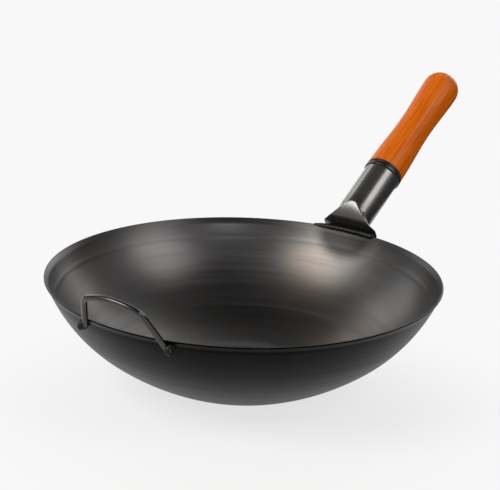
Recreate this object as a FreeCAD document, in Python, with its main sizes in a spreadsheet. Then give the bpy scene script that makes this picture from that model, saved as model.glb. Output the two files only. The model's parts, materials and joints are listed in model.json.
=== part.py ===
"""Carbon steel wok: a pressed bowl with a flat base, a tube socket pinched flat and welded on
outside the rim, a wooden grip that screws into the socket, and a welded wire loop opposite.

The origin is the middle of the base's underside. +Z is up, and the long handle points along +X.
Lengths are millimetres and angles are degrees.
"""
import FreeCAD
import Part
import Sketcher
import math
import os

SIZES = {
    # Bowl: outside of the sheet
    "rim_radius": 180.0,
    "base_radius": 60.0,
    "bowl_height": 95.7,
    "sheet_thickness": 1.6,
    "knuckle_radius": 50.0,
    "knuckle_slope": 23.0,
    "lower_turn_share": 0.304,
    "rim_extra_slope": 4.2,
    "rim_round_share": 0.4,
    # Long handle: its axis leaves the rim's radius this far above the rim
    "handle_slope": 31.8,
    "handle_rise": 8.3,
    # Tube socket, measured along the handle's axis from the rim's radius
    "tube_radius": 18.0,
    "tube_wall": 1.5,
    "tube_mouth": 66.2,
    "pinch_start": 17.0,
    "pinch_length": 18.0,
    "pinch_half_width": 26.0,
    "pinch_thickness": 6.5,
    "pinch_hollow_share": 0.7,
    "facet_crown": 0.8,
    "facet_top_angle": 12.0,
    "tab_drop": 17.4,
    "tab_thickness": 4.6,
    "tab_half_width": 24.0,
    "tab_bite": 1.0,
    "socket_bead_radius": 2.6,
    "bead_lump_share": 1.15,
    "bead_climb_share": 0.6,
    "bead_step_share": 1.5,
    # Nut welded behind a disc in the tube
    "disc_thickness": 3.0,
    "disc_clearance": 0.1,
    "disc_hole_clearance": 0.5,
    "disc_bead_leg": 2.0,
    "nut_across_flats": 17.0,
    "nut_height": 8.0,
    "nut_bead_leg": 1.8,
    # Hanger bolt
    "bolt_radius": 5.0,
    "bolt_clearance": 0.06,
    "bolt_past_nut": 3.0,
    "bolt_in_wood": 52.0,
    "bolt_chamfer": 1.0,
    # Collar ring on the mouth of the tube, wider than the tube
    "collar_length": 7.2,
    "collar_overhang": 1.2,
    "collar_clearance": 0.4,
    "collar_round": 1.4,
    # Wooden grip: its root lies inside the collar's edge, its waist inside its root
    "grip_length": 139.2,
    "grip_root_step": 0.3,
    "grip_waist_depth": 2.4,
    "grip_waist_share": 0.48,
    "grip_swell_rise": 1.9,
    "grip_dome_share": 0.96,
    "grip_end_round": 8.0,
    "spigot_length": 30.0,
    "spigot_clearance": 0.5,
    "spigot_disc_gap": 2.0,
    # Wire loop, measured in its own leaning plane from the feet
    "wire_radius": 2.7,
    "loop_slope": 60.4,
    "loop_drop": 8.1,
    "loop_foot_half_width": 43.0,
    "loop_corner_half_width": 29.9,
    "loop_corner_height": 37.4,
    "loop_height": 44.7,
    "loop_corner_round": 12.0,
    "loop_foot_round": 4.5,
    "loop_foot_length": 5.5,
    "loop_bite": 0.3,
    "loop_bead_radius": 3.7,
    # Tools reach this far past what they cut
    "overrun": 5.0,
}


class Size:
    """A value worked out from the sheet, kept with the expression that binds a property to it."""

    def __init__(self, value, text):
        self.value = float(value)
        self.text = text

    def __add__(self, other):
        other = sized(other)
        return Size(self.value + other.value, f"({self.text} + {other.text})")

    def __sub__(self, other):
        other = sized(other)
        return Size(self.value - other.value, f"({self.text} - {other.text})")

    def __mul__(self, other):
        other = sized(other)
        return Size(self.value * other.value, f"({self.text} * {other.text})")

    def __truediv__(self, other):
        other = sized(other)
        return Size(self.value / other.value, f"({self.text} / {other.text})")

    def __neg__(self):
        return Size(-self.value, f"(-1 * {self.text})")

    __radd__ = __add__
    __rmul__ = __mul__

    def __rsub__(self, other):
        return sized(other) - self

    def __rtruediv__(self, other):
        return sized(other) / self


def sized(number):
    """A plain number as a Size; a Size as it is."""
    if isinstance(number, Size):
        return number
    return Size(number, repr(float(number)))


def sine(angle):
    return Size(math.sin(math.radians(angle.value)), f"sin({angle.text})")


def cosine(angle):
    return Size(math.cos(math.radians(angle.value)), f"cos({angle.text})")


def root(square):
    return Size(math.sqrt(square.value), f"sqrt({square.text})")


def angle_of_tangent(share):
    return Size(math.degrees(math.atan(share.value)), f"(atan({share.text}) / (1 deg))")


def between(first, second, share):
    """The value at a share of the way from first to second."""
    return first + (second - first) * share


doc = FreeCAD.newDocument("Wok")
sheet = doc.addObject("Spreadsheet::Sheet", "Sizes")
for row, (alias, number) in enumerate(SIZES.items(), start=1):
    sheet.set(f"A{row}", alias)
    sheet.set(f"B{row}", str(number))
    sheet.setAlias(f"B{row}", alias)
worked = doc.addObject("App::VarSet", "Worked")
doc.recompute()


def size(alias):
    """The sheet's value of that name."""
    return Size(float(sheet.get(alias)), f"Sizes.{alias}")


def keep(name, value):
    """Hold a worked-out value in the document under a name of its own."""
    worked.addProperty("App::PropertyFloat", name)
    worked.setExpression(name, value.text)
    return Size(value.value, f"Worked.{name}")


ZERO = sized(0)
RIM = size("rim_radius")
HEIGHT = size("bowl_height")
SLOPE = size("handle_slope")
TUBE = size("tube_radius")
BORE = TUBE - size("tube_wall")
COLLAR = TUBE + size("collar_overhang")
MOUTH = size("tube_mouth")
SEAT = MOUTH + size("collar_length")
SPIGOT_END = SEAT - size("spigot_length")
DISC_TOP = SPIGOT_END - size("spigot_disc_gap")
DISC_FOOT = DISC_TOP - size("disc_thickness")
NUT_FOOT = DISC_FOOT - size("nut_height")
BOLT = size("bolt_radius")
WIRE = size("wire_radius")
OVERRUN = size("overrun")


class Wall:
    """The outside of the bowl in section: base, knuckle arc, lower arc and upper arc, all tangent.

    One arc from the knuckle to the rim would meet the rim at a slope that follows from its chord.
    The rim's own slope is a little steeper, so the wall is two arcs that share the turn.
    """

    base = size("base_radius")
    knuckle = size("knuckle_radius")
    knuckle_slope = size("knuckle_slope")
    knuckle_sine = sine(knuckle_slope)
    knuckle_cosine = cosine(knuckle_slope)
    knuckle_end = (
        keep("knuckle_end_radius", base + knuckle * knuckle_sine),
        keep("knuckle_end_height", knuckle - knuckle * knuckle_cosine),
    )
    run = keep("wall_run", RIM - knuckle_end[0])
    climb = keep("wall_climb", HEIGHT - knuckle_end[1])
    chord_slope = keep("chord_slope", angle_of_tangent(climb / run))
    rim_slope = keep("rim_slope", 2 * chord_slope - knuckle_slope + size("rim_extra_slope"))
    joint_slope = keep("joint_slope", between(knuckle_slope, rim_slope, size("lower_turn_share")))
    # Run and climb of each arc for a radius of one
    lower_run = keep("lower_run", sine(joint_slope) - knuckle_sine)
    lower_climb = keep("lower_climb", knuckle_cosine - cosine(joint_slope))
    upper_run = keep("upper_run", sine(rim_slope) - sine(joint_slope))
    upper_climb = keep("upper_climb", cosine(joint_slope) - cosine(rim_slope))
    cross = keep("wall_cross", lower_run * upper_climb - lower_climb * upper_run)
    # The two radii for which both arcs together make the wall's run and climb
    lower = keep("lower_wall_radius", (run * upper_climb - climb * upper_run) / cross)
    upper = keep("upper_wall_radius", (climb * lower_run - run * lower_climb) / cross)
    joint = (
        keep("joint_radius", knuckle_end[0] + lower * lower_run),
        keep("joint_height", knuckle_end[1] + lower * lower_climb),
    )
    lower_centre = (knuckle_end[0] - lower * knuckle_sine, knuckle_end[1] + lower * knuckle_cosine)
    upper_centre = (
        keep("upper_centre_radius", RIM - upper * sine(rim_slope)),
        keep("upper_centre_height", HEIGHT + upper * cosine(rim_slope)),
    )

    @classmethod
    def below_rim(cls, drop):
        """Radius, height and slope of the wall at a distance down it from the rim."""
        slope = cls.rim_slope - drop / cls.upper * (180 / math.pi)
        radius = cls.upper_centre[0] + cls.upper * sine(slope)
        height = cls.upper_centre[1] - cls.upper * cosine(slope)
        return radius, height, slope


def bind(thing, **sizes):
    """Tie properties to sizes."""
    for name, value in sizes.items():
        thing.setExpression(name, value.text)


def place(thing, x, z, lean):
    """Put a thing in the plane Y = 0, its own Z axis leant over towards +X."""
    thing.Placement = FreeCAD.Placement(
        FreeCAD.Vector(x.value, ZERO.value, z.value),
        FreeCAD.Rotation(FreeCAD.Vector(0, 1, 0), lean.value),
    )
    thing.setExpression("Placement.Base.x", x.text)
    thing.setExpression("Placement.Base.z", z.text)
    thing.setExpression("Placement.Rotation.Angle", lean.text)


def place_on_handle(thing, along=ZERO):
    """Put a thing's own Z axis on the handle's axis, starting that far out along it."""
    x = RIM + along * cosine(SLOPE)
    z = HEIGHT + size("handle_rise") + along * sine(SLOPE)
    place(thing, x, z, 90 - SLOPE)


def new_body(label):
    body = doc.addObject("PartDesign::Body", label)
    body.Label = label
    return body


def new_sketch(body, name, role, x=None, z=None, tilt=None):
    """A sketch on one of the body's own planes, moved in the plane's frame and tilted about its Y."""
    sketch = body.newObject("Sketcher::SketchObject", name)
    plane = [item for item in body.Origin.OriginFeatures if item.Role == role][0]
    sketch.AttachmentSupport = [(plane, "")]
    sketch.MapMode = "FlatFace"
    if tilt is not None:
        sketch.AttachmentOffset = FreeCAD.Placement(
            FreeCAD.Vector(0, 0, 0), FreeCAD.Rotation(FreeCAD.Vector(0, 1, 0), tilt.value)
        )
        sketch.setExpression("AttachmentOffset.Rotation.Angle", tilt.text)
    if x is not None:
        sketch.setExpression("AttachmentOffset.Base.x", x.text)
    if z is not None:
        sketch.setExpression("AttachmentOffset.Base.z", z.text)
    return sketch


def pin_point(sketch, geometry, point, x=None, y=None):
    """Hold a point of a sketch at bound distances from the sketch's origin."""
    for kind, axis, value in (("DistanceX", -2, x), ("DistanceY", -1, y)):
        if value is None:
            continue
        if value.text == ZERO.text:
            sketch.addConstraint(Sketcher.Constraint("PointOnObject", geometry, point, axis))
        else:
            held = sketch.addConstraint(
                Sketcher.Constraint(kind, -1, 1, geometry, point, value.value)
            )
            sketch.setExpression(f"Constraints[{held}]", value.text)


def draw(sketch, corners, arcs, closed=True):
    """Draw sides from corner to corner. arcs gives, for the sides that are round, the centre and
    the way they turn: 1 anticlockwise, -1 clockwise."""
    count = len(corners) if closed else len(corners) - 1
    starts = []
    for side in range(count):
        first = corners[side]
        last = corners[(side + 1) % len(corners)]
        a = FreeCAD.Vector(first[0].value, first[1].value, 0)
        b = FreeCAD.Vector(last[0].value, last[1].value, 0)
        if side not in arcs:
            starts.append((sketch.addGeometry(Part.LineSegment(a, b)), 1, 2))
            continue
        centre, turn = arcs[side]
        middle = FreeCAD.Vector(centre[0].value, centre[1].value, 0)
        if turn < 0:
            a, b = b, a
        circle = Part.Circle(middle, FreeCAD.Vector(0, 0, 1), (a - middle).Length)
        begin = math.atan2(a.y - middle.y, a.x - middle.x)
        finish = math.atan2(b.y - middle.y, b.x - middle.x)
        arc = sketch.addGeometry(Part.ArcOfCircle(circle, begin, finish))
        starts.append((arc, 1, 2) if turn > 0 else (arc, 2, 1))
    joints = count if closed else count - 1
    for side in range(joints):
        following = starts[(side + 1) % count]
        sketch.addConstraint(
            Sketcher.Constraint("Coincident", starts[side][0], starts[side][2], following[0], following[1])
        )
    for side in range(count):
        pin_point(sketch, starts[side][0], starts[side][1], *corners[side])
    if not closed:
        pin_point(sketch, starts[-1][0], starts[-1][2], *corners[-1])
    for side, (centre, turn) in arcs.items():
        first = corners[side]
        last = corners[(side + 1) % len(corners)]
        flat = abs(last[0].value - first[0].value) > abs(last[1].value - first[1].value)
        if flat:
            pin_point(sketch, starts[side][0], 3, y=centre[1])
        else:
            pin_point(sketch, starts[side][0], 3, x=centre[0])
    return [start[0] for start in starts]


def draw_circle(sketch, radius):
    """A circle about the sketch's origin."""
    ring = sketch.addGeometry(Part.Circle(FreeCAD.Vector(0, 0, 0), FreeCAD.Vector(0, 0, 1), radius.value))
    sketch.addConstraint(Sketcher.Constraint("Coincident", ring, 3, -1, 1))
    held = sketch.addConstraint(Sketcher.Constraint("Radius", ring, radius.value))
    sketch.setExpression(f"Constraints[{held}]", radius.text)


def spin(body, sketch, name):
    """Turn a sketch once round the body's own Z axis, which is the sketch's upright axis."""
    turned = body.newObject("PartDesign::Revolution", name)
    turned.Profile = sketch
    turned.ReferenceAxis = (sketch, ["V_Axis"])
    turned.Angle = 360
    doc.recompute()
    return turned


def turned_body(label, corners, arcs):
    """A piece turned round the handle's axis: corners are (radius, distance along the axis)."""
    body = new_body(label)
    place_on_handle(body)
    sketch = new_sketch(body, f"{label}_section", "XZ_Plane")
    draw(sketch, corners, arcs)
    spin(body, sketch, f"{label}_turned")
    return body


def names_above(kind, items, level):
    """Names of the faces or edges that lie wholly above a level."""
    return [f"{kind}{i}" for i, item in enumerate(items, start=1) if item.BoundBox.ZMin > level]


def bowl_solid(label):
    """The bowl's outside, filled to the rim."""
    body = new_body(label)
    sketch = new_sketch(body, f"{label}_section", "XZ_Plane")
    corners = [
        (ZERO, ZERO),
        (Wall.base, ZERO),
        Wall.knuckle_end,
        Wall.joint,
        (RIM, HEIGHT),
        (ZERO, HEIGHT),
    ]
    arcs = {
        1: ((Wall.base, Wall.knuckle), 1),
        2: (Wall.lower_centre, 1),
        3: (Wall.upper_centre, 1),
    }
    draw(sketch, corners, arcs)
    return body, spin(body, sketch, f"{label}_turned")


def make_bowl():
    """Pressed sheet of one thickness, open at the rim, with the cut edge rounded."""
    body, solid = bowl_solid("bowl")
    sheet_thickness = size("sheet_thickness")
    rim_level = HEIGHT.value - sheet_thickness.value / 2
    shell = body.newObject("PartDesign::Thickness", "bowl_sheet")
    shell.Base = (solid, names_above("Face", solid.Shape.Faces, rim_level))
    shell.Reversed = True
    shell.Mode = 0
    shell.Join = 0
    bind(shell, Value=sheet_thickness)
    doc.recompute()
    rounded = body.newObject("PartDesign::Fillet", "bowl_rim_round")
    rounded.Base = (shell, names_above("Edge", shell.Shape.Edges, rim_level))
    bind(rounded, Radius=sheet_thickness * size("rim_round_share"))
    doc.recompute()
    return body


def arc_centre(corner, half_width, crown):
    """Where the centre lies, on the X axis, of an arc through (corner, +-half_width) and (crown, 0)."""
    return (half_width * half_width + corner * corner - crown * crown) / (2 * (corner - crown))


def draw_flattened(sketch, corner, half_width, inner, outer):
    """A pinched tube's section: two arcs that meet in a crease at each side.

    corner is how far out the creases lie, and inner and outer are the two arcs' middles. The inner
    arc is hollowed where it has to lie on the round of the bowl.
    """
    corners = [(corner, -half_width), (corner, half_width)]
    hollowed = inner.value > corner.value
    arcs = {
        0: ((arc_centre(corner, half_width, outer), ZERO), 1),
        1: ((arc_centre(corner, half_width, inner), ZERO), -1 if hollowed else 1),
    }
    draw(sketch, corners, arcs)


def draw_round(sketch, radius):
    """The round tube's section, cut into the same two arcs as the flattened ones."""
    crease = -radius * cosine(size("facet_top_angle"))
    half_width = radius * sine(size("facet_top_angle"))
    corners = [(crease, -half_width), (crease, half_width)]
    draw(sketch, corners, {0: ((ZERO, ZERO), 1), 1: ((ZERO, ZERO), 1)})


def make_socket(bowl_form):
    """Tube, pinched flat over its last stretch and bent to lie on the outside of the bowl."""
    body = new_body("socket_tube")
    place_on_handle(body)
    start = size("pinch_start")
    finish = start - size("pinch_length")
    wide = size("pinch_half_width")
    outer = TUBE
    inner = outer - size("pinch_thickness")
    crease = inner + size("facet_crown")

    tube_sketch = new_sketch(body, "tube_ring", "XY_Plane", z=start)
    draw_circle(tube_sketch, TUBE)
    tube = body.newObject("PartDesign::Pad", "tube")
    tube.Profile = tube_sketch
    bind(tube, Length=MOUTH - start)

    round_end = new_sketch(body, "tube_end", "XY_Plane", z=start)
    draw_round(round_end, TUBE)
    pinched = new_sketch(body, "tube_pinched", "XY_Plane", z=finish)
    draw_flattened(pinched, crease, wide, inner, outer)

    # The tab's end lies square across the wall
    tab_radius, tab_height, tab_slope = Wall.below_rim(size("tab_drop"))
    tab_run = tab_radius - RIM
    tab_fall = tab_height - HEIGHT - size("handle_rise")
    tab_along = tab_run * cosine(SLOPE) + tab_fall * sine(SLOPE)
    tab_under = tab_run * sine(SLOPE) - tab_fall * cosine(SLOPE)
    tab_end = new_sketch(
        body, "tab_end", "XY_Plane", x=tab_under, z=tab_along, tilt=SLOPE - tab_slope
    )
    tab_wide = size("tab_half_width")
    sag = tab_radius - root(tab_radius * tab_radius - tab_wide * tab_wide)
    bite = size("tab_bite")
    draw_flattened(tab_end, -sag * sine(tab_slope) - bite, tab_wide, -bite, size("tab_thickness"))

    pinch = body.newObject("PartDesign::AdditiveLoft", "pinch")
    pinch.Profile = round_end
    pinch.Sections = [pinched, tab_end]
    pinch.Ruled = True

    bore_sketch = new_sketch(body, "bore_ring", "XY_Plane", z=start)
    draw_circle(bore_sketch, BORE)
    bore = body.newObject("PartDesign::Pocket", "bore")
    bore.Profile = bore_sketch
    bore.Reversed = True
    bind(bore, Length=MOUTH - start + OVERRUN)

    # The hollow narrows with the pinch and stops where its walls meet
    share = size("pinch_hollow_share")
    wall = size("tube_wall")
    hollow_start = new_sketch(body, "hollow_start", "XY_Plane", z=start)
    draw_round(hollow_start, BORE)
    hollow_end = new_sketch(body, "hollow_end", "XY_Plane", z=between(start, finish, share))
    top_wide = TUBE * sine(size("facet_top_angle"))
    top_crease = -TUBE * cosine(size("facet_top_angle"))
    draw_flattened(
        hollow_end,
        between(top_crease, crease, share) + wall,
        between(top_wide, wide, share) - 2 * wall,
        between(-TUBE, inner, share) + wall,
        outer - wall,
    )
    hollow = body.newObject("PartDesign::SubtractiveLoft", "hollow")
    hollow.Profile = hollow_start
    hollow.Sections = [hollow_end]
    hollow.Ruled = True
    doc.recompute()

    trimmed = doc.addObject("Part::Cut", "handle_socket")
    trimmed.Base = body
    trimmed.Tool = bowl_form
    trimmed.Label = "handle_socket"
    doc.recompute()
    return trimmed


def wall_point(drop, sideways, toward):
    """A point on the bowl's outside, that far down from the rim and from the plane Y = 0."""
    radius, height, _ = Wall.below_rim(drop)
    return FreeCAD.Vector(toward * math.sqrt(radius.value**2 - sideways**2), sideways, height.value)


def new_feature(label, shape):
    feature = doc.addObject("Part::Feature", label)
    feature.Shape = shape
    feature.Label = label
    feature.Placement = FreeCAD.Placement()
    return feature


def make_socket_weld(bowl_form, socket):
    """One bead round the flattened end: across its foot, a lump at each corner, and up each side."""
    foot_drop = size("tab_drop")
    head_drop = foot_drop * (1 - size("bead_climb_share"))
    wide = size("tab_half_width").value
    radius = size("socket_bead_radius").value
    lump = radius * size("bead_lump_share").value
    thin = radius / size("bead_lump_share").value
    across = FreeCAD.Vector(0, 1, 0)
    upright = FreeCAD.Vector(0, 0, 1)
    middle = wall_point(foot_drop, 0, 1)
    half_turn = math.degrees(math.asin(wide / middle.x))
    ring = Part.Face(Part.Wire([Part.makeCircle(radius, middle, across)]))
    ring.rotate(FreeCAD.Vector(0, 0, 0), upright, -half_turn)
    bead = ring.revolve(FreeCAD.Vector(0, 0, 0), upright, 2 * half_turn)
    for sideways in (wide, -wide):
        foot = wall_point(foot_drop, sideways, 1)
        head = wall_point(head_drop, sideways, 1)
        bead = bead.fuse(Part.makeSphere(lump, foot, across))
        bead = bead.fuse(Part.makeCylinder(thin, (head - foot).Length, foot, head - foot))
        bead = bead.fuse(Part.makeSphere(radius, head, across))
    return new_feature("socket_weld", bead.cut(bowl_form.Shape).cut(socket.Shape))


def make_nut_disc():
    """Disc across the tube, with a clearance hole for the bolt."""
    edge = BORE - size("disc_clearance")
    hole = BOLT + size("disc_hole_clearance")
    corners = [(hole, DISC_FOOT), (edge, DISC_FOOT), (edge, DISC_TOP), (hole, DISC_TOP)]
    return turned_body("nut_disc", corners, {})


def make_disc_weld():
    """Corner bead under the disc, against the tube."""
    leg = size("disc_bead_leg")
    corners = [(BORE - leg, DISC_FOOT), (BORE, DISC_FOOT - leg), (BORE, DISC_FOOT)]
    return turned_body("disc_weld", corners, {})


def make_nut():
    """Hexagon nut against the disc."""
    hexagon = doc.addObject("Part::Prism", "nut_blank")
    hexagon.Polygon = 6
    bind(hexagon, Circumradius=size("nut_across_flats") / root(sized(3)), Height=size("nut_height"))
    place_on_handle(hexagon, NUT_FOOT)
    hole = doc.addObject("Part::Cylinder", "nut_thread")
    bind(hole, Radius=BOLT + size("bolt_clearance"), Height=size("nut_height") + 2 * OVERRUN)
    place_on_handle(hole, NUT_FOOT - OVERRUN)
    nut = doc.addObject("Part::Cut", "socket_nut")
    nut.Base = hexagon
    nut.Tool = hole
    nut.Label = "socket_nut"
    doc.recompute()
    return nut


def make_nut_weld(nut):
    """Corner bead round the nut's corners, on the disc."""
    corner = size("nut_across_flats") / root(sized(3))
    leg = size("nut_bead_leg")
    across = size("nut_across_flats") / 2
    corners = [
        (across, DISC_FOOT - leg),
        (corner, DISC_FOOT - leg),
        (corner + leg, DISC_FOOT),
        (across, DISC_FOOT),
    ]
    ring = turned_body("nut_weld_ring", corners, {})
    bead = doc.addObject("Part::Cut", "nut_weld")
    bead.Base = ring
    bead.Tool = nut
    bead.Label = "nut_weld"
    doc.recompute()
    return bead


def make_bolt():
    """Bolt through the nut, with its other end fast in the wood."""
    foot = NUT_FOOT - size("bolt_past_nut")
    tip = SPIGOT_END + size("bolt_in_wood")
    chamfer = size("bolt_chamfer")
    corners = [
        (ZERO, foot),
        (BOLT - chamfer, foot),
        (BOLT, foot + chamfer),
        (BOLT, tip - 2 * BOLT),
        (ZERO, tip),
    ]
    return turned_body("hanger_bolt", corners, {})


def make_collar():
    """Ring that the grip's shoulder clamps on the tube's mouth."""
    edge = COLLAR
    hole = BORE - size("spigot_clearance") + size("collar_clearance")
    curve = size("collar_round")
    corners = [
        (hole, MOUTH),
        (edge - curve, MOUTH),
        (edge, MOUTH + curve),
        (edge, SEAT - curve),
        (edge - curve, SEAT),
        (hole, SEAT),
    ]
    arcs = {
        1: ((edge - curve, MOUTH + curve), 1),
        3: ((edge - curve, SEAT - curve), 1),
    }
    return turned_body("collar", corners, arcs)


def make_grip():
    """Turned wooden grip: spigot, waist, swell and domed end, bored for the bolt."""
    spigot = BORE - size("spigot_clearance")
    length = size("grip_length")
    tip = SEAT + length
    root_radius = COLLAR - size("grip_root_step")
    waist = (root_radius - size("grip_waist_depth"), SEAT + length * size("grip_waist_share"))
    swell_radius = waist[0] + size("grip_swell_rise")
    reach = swell_radius * size("grip_dome_share")
    swell = (swell_radius, tip - reach)
    turn_in = ((waist[0] + swell[0]) / 2, (waist[1] + swell[1]) / 2)
    end_round = size("grip_end_round")

    # Each arc is level at the waist or at the swell, so its centre lies straight out from there
    def level_radius(level, other):
        along = other[1] - level[1]
        out = other[0] - level[0]
        return (along * along + out * out) / (2 * out)

    waist_arc = level_radius(waist, (root_radius, SEAT))
    rise_arc = level_radius(waist, turn_in)
    swell_arc = level_radius(swell, turn_in)
    # The dome is centred on the axis and touches the round that follows the swell
    dome = (reach * reach + swell[0] * swell[0] - 2 * swell[0] * end_round) / (2 * (reach - end_round))
    dome_centre = (ZERO, tip - dome)
    round_centre = (swell[0] - end_round, swell[1])
    stretch = dome / (dome - end_round)
    dome_start = (
        dome_centre[0] + (round_centre[0] - dome_centre[0]) * stretch,
        dome_centre[1] + (round_centre[1] - dome_centre[1]) * stretch,
    )
    bore_end = SPIGOT_END + size("bolt_in_wood")
    corners = [
        (BOLT, SPIGOT_END),
        (spigot, SPIGOT_END),
        (spigot, SEAT),
        (root_radius, SEAT),
        waist,
        turn_in,
        swell,
        dome_start,
        (ZERO, tip),
        (ZERO, bore_end),
        (BOLT, bore_end - 2 * BOLT),
    ]
    arcs = {
        3: ((waist[0] + waist_arc, waist[1]), -1),
        4: ((waist[0] + rise_arc, waist[1]), -1),
        5: ((swell[0] + swell_arc, swell[1]), 1),
        6: (round_centre, 1),
        7: (dome_centre, 1),
    }
    return turned_body("grip", corners, arcs)


def loop_frame():
    """Where the feet's line lies: the wire there just bites the wall."""
    radius, height, slope = Wall.below_rim(size("loop_drop"))
    wide = size("loop_foot_half_width")
    inward = keep("loop_inward", root(radius * radius - wide * wide))
    stand_off = (WIRE - size("loop_bite")) * radius / (sine(slope) * inward)
    return -(inward + stand_off), height


def make_loop(bowl_form):
    """Bent wire: feet turned outwards on the wall, legs, and a crowned top."""
    x, z = loop_frame()
    body = new_body("loop_wire")
    place(body, x, z, size("loop_slope") - 90)
    foot = size("loop_foot_half_width")
    shoulder = size("loop_corner_half_width")
    rise = size("loop_corner_height")
    top = size("loop_height")
    foot_end = foot + size("loop_foot_length")
    foot_round = size("loop_foot_round")
    corner_round = size("loop_corner_round")

    # The leg's direction, and the crown's circle through both shoulders and the top
    lean = foot - shoulder
    leg = root(lean * lean + rise * rise)
    along = lean / leg
    up = rise / leg
    crown = (shoulder * shoulder + (top - rise) * (top - rise)) / (2 * (top - rise))
    crown_height = top - crown

    # Corner round: inside the leg's line by its radius, and inside the crown by its radius
    gap = crown - corner_round
    leg_distance = foot * up - corner_round
    depth = crown_height * along
    # Points on the inner parallel of the leg satisfy y * up + z * along = leg_distance
    # so the round's centre is that line's upper meeting point with the inner crown circle
    offset = leg_distance - depth
    half_chord = root(gap * gap - offset * offset)
    round_y = offset * up - half_chord * along
    round_z = crown_height + offset * along + half_chord * up
    round_centre = (round_y, round_z)
    leg_top = (round_y + corner_round * up, round_z + corner_round * along)
    crown_end = (round_y * crown / gap, crown_height + (round_z - crown_height) * crown / gap)

    # Foot round: touches the foot's level line and the leg's line from outside
    bend_z = foot_round
    bend_y = (foot * up - bend_z * along + foot_round) / up
    bend_centre = (bend_y, bend_z)
    leg_foot = (bend_y - foot_round * up, bend_z - foot_round * along)
    foot_start = (bend_y, ZERO)

    left = [(foot_end, ZERO), foot_start, leg_foot, leg_top, crown_end]
    corners = left + [(-y, height) for y, height in reversed(left)]
    arcs = {
        1: (bend_centre, -1),
        3: (round_centre, 1),
        4: ((ZERO, crown_height), 1),
        5: ((-round_y, round_z), 1),
        7: ((-bend_y, bend_z), -1),
    }
    path = new_sketch(body, "loop_path", "YZ_Plane")
    draw(path, corners, arcs, closed=False)
    ring = new_sketch(body, "loop_section", "XZ_Plane", z=-foot_end)
    draw_circle(ring, WIRE)
    wire = body.newObject("PartDesign::AdditivePipe", "loop_swept")
    wire.Profile = ring
    wire.Spine = (path, [])
    doc.recompute()

    trimmed = doc.addObject("Part::Cut", "loop_handle")
    trimmed.Base = body
    trimmed.Tool = bowl_form
    trimmed.Label = "loop_handle"
    doc.recompute()
    return trimmed


def make_loop_welds(bowl_form, loop):
    """Two lumps of weld, run together, in the corner under each turned-out foot."""
    drop = size("loop_drop") + WIRE / 2
    radius = size("loop_bead_radius").value
    lump = radius * size("bead_lump_share").value
    inner = size("loop_foot_half_width").value
    outer = inner + radius * size("bead_step_share").value
    across = FreeCAD.Vector(0, 1, 0)
    beads = []
    for side in (1, -1):
        bead = Part.makeSphere(lump, wall_point(drop, side * inner, -1), across)
        bead = bead.fuse(Part.makeSphere(radius, wall_point(drop, side * outer, -1), across))
        beads += bead.cut(bowl_form.Shape).cut(loop.Shape).Solids
    return new_feature("loop_welds", Part.makeCompound(beads))


def main():
    bowl = make_bowl()
    bowl_form, _ = bowl_solid("bowl_form")
    socket = make_socket(bowl_form)
    nut = make_nut()
    loop = make_loop(bowl_form)
    nodes = [
        bowl,
        socket,
        make_socket_weld(bowl_form, socket),
        make_nut_disc(),
        make_disc_weld(),
        nut,
        make_nut_weld(nut),
        make_bolt(),
        make_collar(),
        make_grip(),
        loop,
        make_loop_welds(bowl_form, loop),
    ]
    doc.recompute()

    failed = [thing.Name for thing in doc.Objects if {"Invalid", "Error"} & set(thing.State)]
    failed += [node.Label for node in nodes if node.Shape.isNull() or not node.Shape.isValid()]
    if failed:
        raise RuntimeError(f"not built: {failed}")
    os.makedirs("parts", exist_ok=True)
    for node in nodes:
        node.Shape.exportStep(f"parts/{node.Label}.step")
        print(node.Label, len(node.Shape.Solids), "solid", round(node.Shape.Volume / 1000, 2), "cm3")


main()
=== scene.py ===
"""Carbon steel wok, dressed: a blued bowl, a tube socket with a screwed-in wooden grip, and a wire loop.

Sizes are millimetres in the wok's own frame: the origin is the middle of the base's underside, +Z is up
and the long handle points along +X. Meshes are made in metres.
"""

import json
import logging
import math
from dataclasses import dataclass, field
from enum import Enum, IntEnum
from typing import Any, Optional, Sequence

import bmesh
import bpy
import numpy as np
from mathutils import Matrix, Vector


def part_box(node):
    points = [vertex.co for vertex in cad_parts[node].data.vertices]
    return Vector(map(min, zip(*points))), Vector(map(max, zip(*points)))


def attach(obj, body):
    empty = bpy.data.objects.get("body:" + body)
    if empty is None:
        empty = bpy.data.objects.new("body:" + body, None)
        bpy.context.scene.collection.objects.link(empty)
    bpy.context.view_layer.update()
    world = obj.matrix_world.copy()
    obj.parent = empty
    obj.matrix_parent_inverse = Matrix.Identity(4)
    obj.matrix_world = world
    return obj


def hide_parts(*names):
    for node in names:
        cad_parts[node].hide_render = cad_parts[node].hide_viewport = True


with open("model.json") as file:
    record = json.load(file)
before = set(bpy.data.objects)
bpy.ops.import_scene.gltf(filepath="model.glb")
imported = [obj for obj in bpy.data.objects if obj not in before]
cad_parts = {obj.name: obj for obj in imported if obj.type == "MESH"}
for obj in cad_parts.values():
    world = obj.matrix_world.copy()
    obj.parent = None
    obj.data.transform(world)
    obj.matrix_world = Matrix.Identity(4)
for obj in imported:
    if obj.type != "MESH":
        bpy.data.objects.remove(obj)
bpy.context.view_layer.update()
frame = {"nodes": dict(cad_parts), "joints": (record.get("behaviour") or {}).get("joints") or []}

LOG = logging.getLogger("wok")
MM = 0.001
PICTURE_WIDTH = 500
SIDEWAYS = np.array([0.0, 1.0, 0.0])
SAME_POINT = 1e-6
END_ROWS = 7
RIGHT_ANGLE = 90.0

Tree = bpy.types.NodeTree
Node = bpy.types.Node
Outlet = bpy.types.NodeSocket
Material = bpy.types.Material
Piece = bpy.types.Object
Inputs = dict[str, Any] | Sequence[Any]


class Body(Enum):
    """The bodies that pieces ride on."""

    WOK = "wok"
    COLLAR = "collar"
    GRIP = "grip"


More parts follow.
